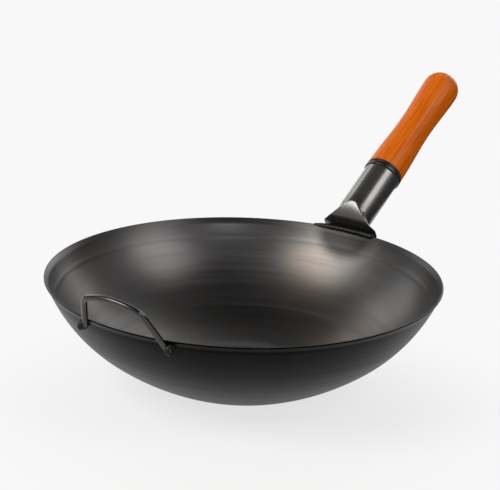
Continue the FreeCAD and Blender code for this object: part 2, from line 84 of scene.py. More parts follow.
class Slot(Enum):
    """The record's material slots."""

    BLUED_STEEL = "blued_steel"
    SOCKET_STEEL = "socket_steel"
    WELD_METAL = "weld_metal"
    THREAD_STEEL = "thread_steel"
    COLLAR_BLACK = "collar_black"
    LACQUERED_WOOD = "lacquered_wood"


class Side(IntEnum):
    """The two sides of the bowl that carry something, by their sign along X."""

    HANDLE = 1
    LOOP = -1


# Colours and nodes


def linear(code: str) -> tuple[float, float, float, float]:
    """Turn an sRGB hex colour into linear red, green, blue and alpha.

    Args:
        code: six hex digits, such as "d36725".

    Returns:
        The linear colour with an alpha of one.
    """
    shares = np.array([int(code[i : i + 2], 16) for i in (0, 2, 4)]) / 255
    bright = np.where(shares <= 0.04045, shares / 12.92, ((shares + 0.055) / 1.055) ** 2.4)
    return (*map(float, bright), 1.0)


def feed(node: Node, inputs: Inputs) -> None:
    """Set a node's inputs to values, or link them.

    Args:
        node: the node.
        inputs: by socket name, or in the sockets' order, a value or a socket or node to link from.
    """
    for key, value in inputs.items() if isinstance(inputs, dict) else enumerate(inputs):
        if isinstance(value, Node):
            value = next(outlet for outlet in value.outputs if outlet.enabled)
        if isinstance(value, Outlet):
            node.id_data.links.new(value, node.inputs[key])
        else:
            node.inputs[key].default_value = value


def add_node(
    tree: Tree, kind: str, inputs: Inputs = (), stops: Sequence[tuple[float, Any]] = (), **settings: Any
) -> Node:
    """Add a node with its settings, its inputs and a ramp's stops.

    Args:
        tree: the node tree that gets the node.
        kind: the node's type name without the ShaderNode in front.
        inputs: what feeds the node, by name or in order.
        stops: a ramp's places and greys or hex colours.
        settings: properties of the node.

    Returns:
        The new node.
    """
    node = tree.nodes.new(f"ShaderNode{kind}")
    for name, value in settings.items():
        setattr(node, name, value)
    feed(node, inputs)
    if stops:
        elements = node.color_ramp.elements
        while len(elements) < len(stops):
            elements.new(1.0)
        for element, (place, colour) in zip(elements, stops):
            element.position = place
            element.color = linear(colour) if isinstance(colour, str) else (colour, colour, colour, 1.0)
    return node


def new_material(name: str) -> tuple[Material, Tree, Node]:
    """Make a material with one principled shader.

    Args:
        name: the material's name.

    Returns:
        The material, its node tree and its shader node.
    """
    material = bpy.data.materials.new(name)
    material.use_nodes = True
    tree = material.node_tree
    return material, tree, tree.nodes["Principled BSDF"]


def add_object(name: str, data: Any) -> Piece:
    """Link a new object to the scene.

    Args:
        name: the object's name.
        data: its mesh, lamp or camera.

    Returns:
        The object.
    """
    added = bpy.data.objects.new(name, data)
    bpy.context.scene.collection.objects.link(added)
    return added


# Shapes


@dataclass
class Skin:
    """A grid of points, row by row along a shape and column by column round it, in millimetres.

    Columns always join round. Rows join round in a ring, and otherwise a pole closes each end.
    """

    points: np.ndarray
    ring: bool = False
    slots: Optional[np.ndarray] = None

    def faces(self, first: int) -> list[list[int]]:
        """List the quads between the rows, and a fan to the pole at each end.

        Args:
            first: the number of the skin's first vertex in the mesh.

        Returns:
            Vertex numbers, face by face: all quads row by row, then the two fans.
        """
        rows, columns = self.points.shape[:2]
        number = first + np.arange(rows * columns).reshape(rows, columns)
        beside = np.roll(number, -1, axis=1)
        if self.ring:
            number = np.vstack([number, number[:1]])
            beside = np.vstack([beside, beside[:1]])
        quads = np.stack([number[:-1], beside[:-1], beside[1:], number[1:]], axis=-1)
        found = quads.reshape(-1, 4).tolist()
        if not self.ring:
            start = np.full(columns, first + rows * columns)
            found += np.stack([beside[0], number[0], start], axis=-1).tolist()
            found += np.stack([number[-1], beside[-1], start + 1], axis=-1).tolist()
        return found

    def vertices(self) -> np.ndarray:
        """Give the grid's points and, at the open ends, the middles of the end rows as poles.

        Returns:
            The points, one in each row.
        """
        flat = self.points.reshape(-1, 3)
        if self.ring:
            return flat
        poles = self.points[[0, -1]].mean(axis=1)
        return np.vstack([flat, poles])


def make_piece(name: str, skins: Sequence[Skin], body: Body, nodes: Sequence[str]) -> Piece:
    """Put skins into one mesh, ride it on its body and let it stand for its solids.

    Args:
        name: the piece's name.
        skins: the grids that make its surface, in millimetres.
        body: what the piece moves with.
        nodes: the solids that it stands for.

    Returns:
        The new object, at the origin.
    """
    corners: list[np.ndarray] = []
    faces: list[list[int]] = []
    slots: list[int] = []
    count = 0
    for skin in skins:
        points = skin.vertices()
        found = skin.faces(count)
        faces += found
        rows = np.zeros(len(found), int) if skin.slots is None else skin.slots
        slots += rows.tolist()
        corners.append(points)
        count += len(points)
    mesh = bpy.data.meshes.new(name)
    mesh.from_pydata((np.vstack(corners) * MM).tolist(), [], faces)
    mesh.polygons.foreach_set("material_index", slots)
    shell = bmesh.new()
    shell.from_mesh(mesh)
    bmesh.ops.recalc_face_normals(shell, faces=shell.faces)
    shell.to_mesh(mesh)
    shell.free()
    mesh.polygons.foreach_set("use_smooth", [True] * len(mesh.polygons))
    mesh.update()
    piece = add_object(name, mesh)
    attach(piece, body.value)
    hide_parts(*nodes)
    LOG.info("%s: %d faces on %s", name, len(mesh.polygons), body.value)
    return piece


def arc(start: Sequence[float], end: Sequence[float], centre: Sequence[float], count: int) -> np.ndarray:
    """Points on a circle about a centre, the short way from start to end.

    The angle runs evenly from start to end, and the distance from the centre too.

    Args:
        start: the first point.
        end: the last point.
        centre: the circle's middle.
        count: how many points, both ends included.

    Returns:
        The points, one in each row.
    """
    a, b = np.subtract(start, centre), np.subtract(end, centre)
    angle = math.atan2(a[1], a[0])
    turn = (math.atan2(b[1], b[0]) - angle + math.pi) % (2 * math.pi) - math.pi
    angles = np.linspace(angle, angle + turn, count)
    reach = np.linspace(np.hypot(*a), np.hypot(*b), count)
    return np.add(centre, np.stack([reach * np.cos(angles), reach * np.sin(angles)], axis=1))


def outline(*stretches: Any) -> np.ndarray:
    """Join stretches of points into one line and drop points that repeat.

    Args:
        stretches: single points or rows of points, in order.

    Returns:
        The line's points, one in each row.
    """
    line = np.vstack([np.atleast_2d(np.asarray(stretch, float)) for stretch in stretches])
    steps = np.linalg.norm(np.diff(line, axis=0), axis=1)
    return line[np.concatenate([[True], steps > SAME_POINT])]


def rounded_edge(start: tuple[float, float], end: tuple[float, float], count: int) -> np.ndarray:
    """Round a profile's outer edge about the point at the lesser radius, level with the greater one."""
    inner, outer = sorted((start, end))
    return arc(start, end, (inner[0], outer[1]), count)


def between(start: Any, end: Any, share: Any) -> Any:
    """The first value times one less the share, plus the second times the share."""
    return start * (1 - share) + end * share


def full_turn(columns: int) -> np.ndarray:
    """Even steps of one turn, in radians."""
    return np.linspace(0, 2 * math.pi, columns, endpoint=False)


def round_grid(radius: Any, height: Any, turn: np.ndarray) -> np.ndarray:
    """Points round the Z axis: radius times the cosine and sine of the turn, at the height."""
    return np.stack([radius * np.cos(turn), radius * np.sin(turn), height + 0 * turn], axis=-1)


def spin(profile: np.ndarray, columns: int) -> np.ndarray:
    """Turn a profile of (radius, height) once round the Z axis."""
    return round_grid(profile[:, :1], profile[:, 1:], full_turn(columns))


def spread(line: np.ndarray, places: np.ndarray) -> np.ndarray:
    """Points at given distances along a line.

    Args:
        line: the line's points.
        places: distances from its start.

    Returns:
        The points there, in between by straight shares.
    """
    steps = np.linalg.norm(np.diff(line, axis=0), axis=1)
    run = np.concatenate([[0.0], np.cumsum(steps)])
    return np.stack([np.interp(places, run, part) for part in line.T], axis=1)


def length_of(line: np.ndarray) -> float:
    """Add up the steps of a line."""
    return float(np.linalg.norm(np.diff(line, axis=0), axis=1).sum())


def soften(points: np.ndarray, passes: int, wrap: bool) -> np.ndarray:
    """Round off creases: each pass puts every row halfway to the middle of its two neighbours.

    Args:
        points: rows of points; the end rows stay unless the rows wrap round.
        passes: how many times.
        wrap: whether the last row is beside the first.

    Returns:
        The softened points.
    """
    for _ in range(passes):
        middle = (np.roll(points, 1, axis=0) + np.roll(points, -1, axis=0)) / 2
        moved = (points + middle) / 2
        if not wrap:
            moved[[0, -1]] = points[[0, -1]]
        points = moved
    return points


def tube_round(path: np.ndarray, out: np.ndarray, radius: np.ndarray, columns: int) -> np.ndarray:
    """Carry a circle along a path.

    A point lies off the path by the radius there, at an angle from the out direction towards the
    direction that is square to out and to the path.

    Args:
        path: the path's points.
        out: one direction for each point, not along the path.
        radius: one radius for each point.
        columns: how many steps round.

    Returns:
        A grid of points.
    """
    along = np.gradient(path, axis=0)
    along /= np.linalg.norm(along, axis=1, keepdims=True)
    out = out - along * (out * along).sum(axis=1, keepdims=True)
    out /= np.linalg.norm(out, axis=1, keepdims=True)
    side = np.cross(along, out)
    turn = full_turn(columns)[None, :, None]
    reach = radius[:, None, None]
    return path[:, None] + reach * (np.cos(turn) * out[:, None] + np.sin(turn) * side[:, None])


def end_round(places: np.ndarray, length: float, radius: float, edge: float) -> np.ndarray:
    """Radius along a rod whose ends are rounded over.

    Near an end it is the radius less the edge's round, plus the height of a quarter circle there.

    Args:
        places: distances from the rod's start.
        length: the rod's length.
        radius: the rod's radius.
        edge: the round's size, up to the radius.

    Returns:
        The radius at each place.
    """
    inward = np.clip(np.minimum(places, length - places), 0, edge)
    return radius - edge + np.sqrt(np.maximum(edge**2 - (edge - inward) ** 2, 0))


def rod_places(length: float, edge: float, step: float) -> np.ndarray:
    """Distances along a rod: crowded in the rounded ends and even between them.

    In a rounded end they are the edge times one less the cosine of evenly stepped angles.

    Args:
        length: the rod's length.
        edge: the round's size.
        step: about how far apart they lie between the ends.

    Returns:
        The distances from the rod's start.
    """
    curve = edge * (1 - np.cos(np.linspace(0, math.pi / 2, END_ROWS)))
    middle = np.linspace(edge, length - edge, max(3, round((length - 2 * edge) / step)))
    return np.concatenate([curve[:-1], middle, (length - curve[:-1])[::-1]])


@dataclass(frozen=True)
class HandleAxis:
    """The long handle's line, read from the joint that unscrews the grip.

    In its own frame X points to the underside, Y sideways and Z outwards along the handle.
    """

    origin: np.ndarray
    along: np.ndarray

    @classmethod
    def from_frame(cls) -> "HandleAxis":
        """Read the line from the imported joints."""
        joint = next(item for item in frame["joints"] if item["name"] == "grip_unscrew")
        return cls(np.array(joint["pos_m"]) / MM, np.array(joint["axis"]))

    @property
    def under(self) -> np.ndarray:
        """The direction to the handle's underside."""
        return np.array([self.along[2], 0.0, -self.along[0]])

    @property
    def lean(self) -> float:
        """How far the line leans over from upright, in radians."""
        return math.acos(self.along[2])

    def place(self, local: np.ndarray) -> np.ndarray:
        """Bring points from the handle's frame into the wok's frame."""
        x, y, z = local[..., :1], local[..., 1:2], local[..., 2:]
        return self.origin + x * self.under + y * SIDEWAYS + z * self.along

    def drawn_out(self, tree: Tree, width: float, length: float) -> Node:
        """Lay a pattern along the handle.

        Args:
            tree: the material's node tree.
            width: the pattern's unit across the handle.
            length: its unit along the handle.

        Returns:
            The node that gives the place on a piece in those units.
        """
        turned = {
            "Vector": add_node(tree, "TexCoord").outputs["Object"],
            "Location": tuple(self.origin * MM),
            "Rotation": (0.0, self.lean, 0.0),
            "Scale": (width * MM, width * MM, length * MM),
        }
        return add_node(tree, "Mapping", turned, vector_type="TEXTURE")

    def span(self, node: str) -> tuple[float, float]:
        """Lowest and highest place of a solid along the handle.

        Args:
            node: the solid's name.

        Returns:
            The two distances from the handle's origin.
        """
        mesh = frame["nodes"][node].data
        corners = np.empty(3 * len(mesh.vertices))
        mesh.vertices.foreach_get("co", corners)
        places = (corners.reshape(-1, 3) / MM - self.origin) @ self.along
        return float(places.min()), float(places.max())


# Finishes


@dataclass(frozen=True, kw_only=True)
class Metal:
    """What the bare metals share: a pattern that varies the gloss and breaks the reflections."""

    roughness: float
    vary: float
    relief: float
    depth: float
    pattern_ends: tuple[float, float] = (0.25, 0.75)
    metal: float = 1.0

    def finish(self, tree: Tree, shader: Node, tint: Node, pattern: Node) -> None:
        """Give a shader its colour, gloss and relief.

        The roughness goes from its value less the variation to its value plus the variation, evenly as the
        pattern goes from its low to its high end.

        Args:
            tree: the material's node tree.
            shader: its shader.
            tint: gives the colour.
            pattern: gives gloss and relief.
        """
        low, high = self.roughness - self.vary, self.roughness + self.vary
        relief = {"Height": pattern, "Strength": self.relief, "Distance": self.depth * MM}
        inputs = {
            "Base Color": tint,
            "Roughness": add_node(tree, "MapRange", (pattern, *self.pattern_ends, low, high)),
            "Normal": add_node(tree, "Bump", relief),
            "Metallic": self.metal,
        }
        feed(shader, inputs)


@dataclass(frozen=True, kw_only=True)
class SheetSteel(Metal):
    """What both sides of the bowl's sheet share: clouds of colour, rings from forming and a darker lip that
    is painted shade.
    """

    name: str
    stops: tuple[tuple[float, str], ...]
    cloud: float
    cloud_detail: float
    lip: str
    lip_shade_low: float
    lip_shade_high: float
    ring_step: float
    ring_roughness: float
    ring_stretch: float = 300.0
    depth: float = 0.1

    def heat_tint_and_painted_reflection(self, tree: Tree, place: Outlet, tint: Node, bowl: "Bowl") -> Node:
        """Leave the colours as they are, on a side with neither heat tint nor painted reflection."""
        return tint

    def make(self, bowl: "Bowl") -> Material:
        """Build the material.

        The lip's darker colour is painted shade, for the dark reflections that the flared lip takes; it
        comes in evenly between two depths below the rim.

        Args:
            bowl: gives the rim's place for the lip's painted shade and for the patch of heat tint and
                painted reflection.

        Returns:
            The material.
        """
        material, tree, shader = new_material(self.name)
        place = add_node(tree, "TexCoord").outputs["Object"]
        noise = {"Vector": place, "Scale": 1 / (self.cloud * MM), "Detail": self.cloud_detail}
        tint = add_node(tree, "ValToRGB", [add_node(tree, "TexNoise", noise)], self.stops)
        level = add_node(tree, "SeparateXYZ", [place]).outputs["Z"]
        # Painted shade: the band just below the rim is darkened in the colour
        low, high = (bowl.height - self.lip_shade_low) * MM, (bowl.height - self.lip_shade_high) * MM
        painted_lip_shade = add_node(tree, "MapRange", (level, low, high))
        colours = {"Factor": painted_lip_shade, "A": tint, "B": linear(self.lip)}
        tint = self.heat_tint_and_painted_reflection(tree, place, add_node(tree, "Mix", colours, data_type="RGBA"), bowl)
        # Rings from spinning and wiping: noise drawn out wide and flat, as coarse as it needs to show
        stretch = self.ring_stretch * MM
        units = {"Vector": place, "Scale": (stretch, stretch, self.ring_step * MM)}
        flat = add_node(tree, "Mapping", units, vector_type="TEXTURE")
        noise = {"Vector": flat, "Scale": 1.0, "Detail": 5.0, "Roughness": self.ring_roughness}
        self.finish(tree, shader, tint, add_node(tree, "TexNoise", noise))
        return material


@dataclass(frozen=True, kw_only=True)
class BluedInside(SheetSteel):
    """Carbon steel sheet, rolled, pressed and blued by heat, wiped with oil inside.

    The eye gets a dark satin mirror, a little brown and a little violet in broad clouds, with faint rings
    from forming, a darker lip that is painted shade for the dark reflections of the flared lip, and a dull
    grey patch below the socket that is partly heat tint from the weld behind and partly a painted
    reflection of the socket.
    the sheet from behind.
    """

    name: str = "blued_steel_inside"
    stops: tuple[tuple[float, str], ...] = ((0.35, "585658"), (0.5, "585756"), (0.65, "5d5854"))
    cloud: float = 70.0
    cloud_detail: float = 3.0
    # The lip's colour is painted shade: darker than the sheet, for the dark reflections of the flared lip
    lip: str = "444342"
    lip_shade_low: float = 4.6
    lip_shade_high: float = 3.0
    roughness: float = 0.34
    vary: float = 0.05
    relief: float = 0.10
    ring_step: float = 3.2
    ring_roughness: float = 0.6
    # Colour of the patch under the socket: heat tint plus a painted reflection of the socket
    patch: str = "2b2b2b"
    patch_size: tuple[float, float, float] = (60.0, 34.0, 28.0)
    patch_inner: float = 0.7
    patch_outer: float = 1.2
    waver: float = 25 / 3
    waver_share: float = 0.12

    def heat_tint_and_painted_reflection(self, tree: Tree, place: Outlet, tint: Node, bowl: "Bowl") -> Node:
        """Lay the patch below the socket over the colours: partly heat tint from the weld behind the sheet,
        partly a painted reflection of the socket.

        It is an ellipsoid about the rim's point over the socket: the distance from there, in units of its
        half sizes, plus a share of a noise that lets its edge waver.

        Args:
            tree: the material's node tree.
            place: gives the place on the bowl.
            tint: gives the colour without the patch.
            bowl: gives the rim's place.

        Returns:
            The node that gives the colour with the patch.
        """
        rim = (bowl.rim_radius * MM, 0.0, bowl.height * MM)
        units = {"Vector": place, "Location": rim, "Scale": tuple(size * MM for size in self.patch_size)}
        centred = add_node(tree, "Mapping", units, vector_type="TEXTURE")
        far = add_node(tree, "VectorMath", [centred], operation="LENGTH")
        noise = {"Vector": place, "Scale": 1 / (self.waver * MM), "Detail": 4.0}
        waver = add_node(tree, "TexNoise", noise)
        edge = add_node(tree, "Math", (waver, self.waver_share, far), operation="MULTIPLY_ADD")
        span = (edge, self.patch_inner, self.patch_outer, 1.0, 0.0)
        # Painted reflection: the patch darkens the inside under the socket, partly heat tint and partly the
        # socket's dark reflection painted into the colour
        patch = add_node(tree, "MapRange", span, interpolation_type="SMOOTHSTEP")
        return add_node(
            tree, "Mix", {"Factor": patch, "A": tint, "B": linear(self.patch)}, data_type="RGBA"
        )


@dataclass(frozen=True, kw_only=True)
class BlackOutside(SheetSteel):
    """The same sheet outside, given a copy of the inside's finish made far darker as painted shade.

    It looks nearly black face on, and turns to a soft grey sheen where it is seen at a glancing angle.
    """

    name: str = "painted_shade_outside"
    # Painted shade: near-black colours for the dark reflections of the shaded floor under the bowl; the
    # inside of the same sheet is far lighter
    stops: tuple[tuple[float, str], ...] = ((0.35, "0f0f0f"), (0.7, "191818"))
    cloud: float = 45.0
    cloud_detail: float = 5.0
    # The lip's colour is painted shade: darker still, for the flared lip's reflection of the shaded floor
    # under the bowl
    lip: str = "050505"
    lip_shade_low: float = 8.0
    lip_shade_high: float = 5.0
    roughness: float = 0.40
    vary: float = 0.06
    relief: float = 0.12
    ring_step: float = 4.0
    ring_roughness: float = 0.65


@dataclass(frozen=True, kw_only=True)
class PolishedTube(Metal):
    """Drawn steel tube, belt-polished along its length and blackened, and darker towards its welded foot.

    Reflections are drawn out into streaks along the tube, dark grey between bright lines.
    """

    steel: str = "888786"
    dark: str = "7a7977"
    roughness: float = 0.26
    vary: float = 0.03
    relief: float = 0.02
    depth: float = 0.02
    metal: float = 0.88
    darker_foot: str = "6c6b6a"
    darker_from: float = 26.0
    darker_to: float = 14.0
    streak_width: float = 1.2
    streak_length: float = 120.0

    def make(self, axis: HandleAxis) -> Material:
        """Build the material.

        Args:
            axis: the direction that the streaks follow.

        Returns:
            The material.
        """
        material, tree, shader = new_material("polished_black_tube")
        place = axis.drawn_out(tree, self.streak_width, self.streak_length)
        noise = {"Vector": place, "Scale": 1.0, "Detail": 4.0, "Roughness": 0.6}
        streaks = add_node(tree, "TexNoise", noise)
        tint = add_node(tree, "ValToRGB", [streaks], [(0.3, self.dark), (0.7, self.steel)])
        level = add_node(tree, "SeparateXYZ", [place]).outputs["Z"]
        # Darker towards the welded foot, evenly between two places along the handle
        low, high = self.darker_to / self.streak_length, self.darker_from / self.streak_length
        foot_share = add_node(tree, "MapRange", (level, low, high, 1.0, 0.0))
        colours = {"Factor": foot_share, "A": tint, "B": linear(self.darker_foot)}
        self.finish(tree, shader, add_node(tree, "Mix", colours, data_type="RGBA"), streaks)
        return material


@dataclass(frozen=True, kw_only=True)
class MottledSteel(Metal):
    """Steel with a grainy skin: weld metal, drawn wire or plating, told apart by colour and grain.

    Small clouds change its colour and gloss, and a fine grain breaks its reflections.
    """

    name: str
    dark: str
    light: str
    grain: float
    vary: float = 0.08
    relief: float = 0.35
    pattern_ends: tuple[float, float] = (0.3, 0.7)

    def make(self) -> Material:
        """Build the material.

        Returns:
            The material.
        """
        material, tree, shader = new_material(self.name)
        place = add_node(tree, "TexCoord").outputs["Object"]
        noise = {"Vector": place, "Scale": 1 / (self.grain * MM), "Detail": 4.0}
        grain = add_node(tree, "TexNoise", noise)
        tint = add_node(tree, "ValToRGB", [grain], [(0.35, self.dark), (0.65, self.light)])
        self.finish(tree, shader, tint, grain)
        return material


@dataclass(frozen=True)
class BlackEnamel:
    """Black enamelled steel ring, semi-gloss, with the slight orange peel of sprayed paint."""

    black: str = "171513"
    bare: str = "2f2c29"
    roughness: float = 0.30
    peel: float = 1.6
    peel_depth: float = 0.05
    peel_relief: float = 0.15

    def make(self) -> Material:
        """Build the material.

        Returns:
            The material.
        """
        material, tree, shader = new_material("black_enamel")
        place = add_node(tree, "TexCoord").outputs["Object"]
        noise = {"Vector": place, "Scale": 1 / (self.peel * MM), "Detail": 2.0}
        peel = add_node(tree, "TexNoise", noise)
        tint = add_node(tree, "ValToRGB", [peel], [(0.45, self.black), (0.8, self.bare)])
        relief = {"Height": peel, "Strength": self.peel_relief, "Distance": self.peel_depth * MM}
        bump = add_node(tree, "Bump", relief)
        feed(shader, {"Base Color": tint, "Roughness": self.roughness, "Normal": bump})
        return material


@dataclass(frozen=True)
class LacqueredBeech:
    """Turned beech, stained orange-brown and lacquered.

    Fine grain runs along the grip, short dark flecks lie in it, and the lacquer gives a soft broad shine.
    """

    light: str = "de700c"
    middle: str = "d06407"
    dark: str = "b44f04"
    roughness: float = 0.38
    specular: float = 0.18
    coat: float = 0.06
    coat_roughness: float = 0.25
    grain_width: float = 2.4
    grain_length: float = 60.0
    grain_depth: float = 0.1
    grain_relief: float = 0.06
    fleck_width: float = 0.8
    fleck_length: float = 7.0
    fleck_share: float = 0.35

    def make(self, axis: HandleAxis) -> Material:
        """Build the material.

        Args:
            axis: the direction that the grain follows.

        Returns:
            The material.
        """
        material, tree, shader = new_material("lacquered_beech")
        place = axis.drawn_out(tree, self.grain_width, self.grain_length)
        noise = {"Vector": place, "Scale": 1.0, "Detail": 5.0, "Roughness": 0.55, "Distortion": 0.4}
        grain = add_node(tree, "TexNoise", noise)
        stops = [(0.28, self.dark), (0.5, self.middle), (0.72, self.light)]
        tint = add_node(tree, "ValToRGB", [grain], stops)
        place = axis.drawn_out(tree, self.fleck_width, self.fleck_length)
        flecks = add_node(tree, "TexNoise", {"Vector": place, "Scale": 1.0, "Detail": 2.0})
        fleck = add_node(tree, "ValToRGB", [flecks], [(0.64, 0.0), (0.8, self.fleck_share)])
        colours = {"Factor": fleck, "A": tint, "B": linear(self.dark)}
        relief = {"Height": grain, "Strength": self.grain_relief, "Distance": self.grain_depth * MM}
        inputs = {
            "Base Color": add_node(tree, "Mix", colours, data_type="RGBA"),
            "Normal": add_node(tree, "Bump", relief),
            "Roughness": self.roughness,
            "Specular IOR Level": self.specular,
            "Coat Weight": self.coat,
            "Coat Roughness": self.coat_roughness,
        }
        feed(shader, inputs)
        return material


# Weld metal under black scale, dull and rough
WELD = MottledSteel(
    name="blackened_weld", dark="232222", light="3a3937", roughness=0.46, grain=2.2, depth=0.10
)
# Drawn wire, blackened and smooth, with one thin bright line along its crown
WIRE = MottledSteel(
    name="blackened_wire", dark="444342", light="4c4b4a", roughness=0.23, grain=9.0, depth=0.01, vary=0.02
)
# Zinc plate on bolt and nut, pale and satin
ZINC = MottledSteel(name="zinc_plate", dark="c9c9c4", light="dcdcd8", roughness=0.32, grain=1.2, depth=0.03)
# Mild steel as rolled, mid grey, on the disc inside the tube
RAW_STEEL = MottledSteel(
    name="raw_steel", dark="777574", light="8f8d8b", roughness=0.38, grain=1.8, depth=0.05
)


# Sub-assemblies


@dataclass
class Bowl:
    """Pressed sheet bowl. Its wall is a line whose heading is summed up along its length.

    The rim's last stretch turns outwards a little, as the press left it.
    """

    rim_radius: float
    height: float
    sheet: float = 1.6
    base_radius: float = 60.0
    knuckle_radius: float = 50.0
    knuckle_slope: float = 23.0
    joint_slope: float = 36.07
    rim_slope: float = 66.0
    lower_radius: float = 244.9
    upper_radius: float = 160.0
    lip: float = 5.6
    lip_bend: float = 1.8
    lip_slope: float = 54.0
    ring_drop: float = 18.5
    ring_height: float = 0.16
    ring_width: float = 1.3
    out_of_round: float = 0.35
    easing: int = 40
    waves: tuple[tuple[float, int, float], ...] = ((0.6, 2, 0.7), (0.4, 3, 2.1))
    least_slope: float = 0.1
    base_rows: int = 12
    wall_rows: int = 90
    lip_rows: int = 30
    fine_rows: int = 2000
    edge_rows: int = 5
    columns: int = 288
    line: np.ndarray = field(init=False)
    slope: np.ndarray = field(init=False)
    run: np.ndarray = field(init=False)

    def __post_init__(self) -> None:
        """Work out the outside of the wall from the base's middle to the rim.

        The slope rises evenly along each arc, turns over to the lip's and is eased. Its cosine and sine,
        times the steps along the wall, add up to radius and height.
        """
        arcs = [self.knuckle_slope, self.joint_slope, self.rim_slope]
        turns = np.radians(np.diff([0.0, *arcs]))
        lengths = turns * [self.knuckle_radius, self.lower_radius, self.upper_radius]
        wall = self.base_radius + lengths.sum()
        knots = [0.0, self.base_radius, *(self.base_radius + np.cumsum(lengths))]
        headings = [0.0, 0.0, *arcs]
        knots[-1:] = [wall - self.lip, wall - self.lip + self.lip_bend, wall]
        headings[-1:] = [self.rim_slope, self.lip_slope, self.lip_slope]
        self.run = np.concatenate(
            [
                np.linspace(0, self.base_radius, self.base_rows, endpoint=False),
                np.linspace(self.base_radius, wall - 2 * self.lip, self.wall_rows, endpoint=False),
                np.linspace(wall - 2 * self.lip, wall, self.lip_rows),
            ]
        )
        fine = np.linspace(0, wall, self.fine_rows)
        eased = soften(np.interp(fine, knots, headings), self.easing, wrap=False)
        self.slope = np.radians(np.interp(self.run, fine, eased))
        middle = (self.slope[1:] + self.slope[:-1]) / 2
        steps = np.diff(self.run)[:, None] * np.stack([np.cos(middle), np.sin(middle)], axis=1)
        self.line = np.vstack([[0.0, 0.0], np.cumsum(steps, axis=0)])
        # The line ends exactly at the rim
        self.line *= [self.rim_radius / self.line[-1, 0], self.height / self.line[-1, 1]]

    def outside(self, drop: np.ndarray) -> tuple[np.ndarray, np.ndarray, np.ndarray]:
        """Radius, height and slope of the outside at distances down the wall from the rim.

        Args:
            drop: the distances.

        Returns:
            Three arrays, the slope in radians.
        """
        places = self.run[-1] - np.asarray(drop, float)
        parts = (self.line[:, 0], self.line[:, 1], self.slope)
        return tuple(np.interp(places, self.run, part) for part in parts)

    def wall_point(
        self, drop: np.ndarray, sideways: np.ndarray, side: Side
    ) -> tuple[np.ndarray, np.ndarray]:
        """Points of the outside by drop and sideways distance, with the directions square to the wall.

        Args:
            drop: distances down the wall from the rim.
            sideways: distances from the plane through both handles.
            side: the side of the bowl.

        Returns:
            The points and the outward directions.
        """
        radius, height, slope = self.outside(drop)
        sideways = np.asarray(sideways, float)
        inward = np.sqrt(radius**2 - sideways**2)
        point = np.stack([side * inward, sideways, height], axis=-1)
        lean = np.sin(slope) / radius
        out = np.stack([side * inward * lean, sideways * lean, -np.cos(slope)], axis=-1)
        return point, out

    def keep_out(self, points: np.ndarray, bite: float) -> np.ndarray:
        """Move points that lie too deep in the sheet straight outwards.

        Below the rim, a point's distance from the axis is at least the wall's there, less the bite over
        the sine of the slope.

        Args:
            points: points of a piece that is welded to the outside.
            bite: how deep they may lie in the sheet.

        Returns:
            The points, moved where needed.
        """
        reach = np.hypot(points[..., 0], points[..., 1])
        level = points[..., 2]
        wall = np.interp(level, self.line[:, 1], self.line[:, 0])
        slope = np.interp(level, self.line[:, 1], self.slope)
        least = wall - bite / np.sin(np.maximum(slope, self.least_slope))
        stretch = np.where((level < self.height) & (reach < least), least / reach, 1.0)
        return points * np.stack([stretch, stretch, np.ones_like(stretch)], axis=-1)

    def build(self) -> Piece:
        """Build the sheet: outside, rounded cut edge and inside in one skin.

        The inside is the outside moved by the sheet's thickness, square to the wall, plus a forming ring
        that stands up as a bell curve of the distance from the rim. The wall is out of round by two and
        three waves round the bowl that grow with the square of the height.

        Returns:
            The bowl.
        """
        square = np.stack([-np.sin(self.slope), np.cos(self.slope)], axis=1)
        drop = self.run[-1] - self.run
        ring = self.ring_height * np.exp(-(((drop - self.ring_drop) / self.ring_width) ** 2))
        inner = self.line + square * (self.sheet + ring)[:, None]
        middle = (self.line[-1] + inner[-1]) / 2
        tip = middle + np.array([square[-1, 1], -square[-1, 0]]) * self.sheet / 2
        rows = self.edge_rows
        edge = outline(arc(self.line[-1], tip, middle, rows), arc(tip, inner[-1], middle, rows))
        profile = outline(self.line[1:-1], edge, inner[-2:0:-1])
        points = spin(profile, self.columns)
        turn = full_turn(self.columns)
        wave = sum(size * np.cos(count * turn + shift) for size, count, shift in self.waves)
        share = (profile[:, 1] / self.height) ** 2
        stretch = 1 + self.out_of_round * share[:, None] * wave / self.rim_radius
        points[..., :2] *= stretch[..., None]
        outer_rows = len(self.line) - 2 + len(edge) // 2
        # The inside's finish starts at the cut edge; of the two poles, the second closes the inside
        inside = np.concatenate([np.arange(len(profile) - 1) >= outer_rows, [False, True]])
        skin = Skin(points, slots=np.repeat(inside.astype(int), self.columns))
        return make_piece("bowl_sheet", [skin], Body.WOK, ["bowl"])

    def dress(self, piece: Piece) -> None:
        """Give the outside and the inside their finishes."""
        piece.data.materials.append(BlackOutside().make(self))
        piece.data.materials.append(BluedInside().make(self))


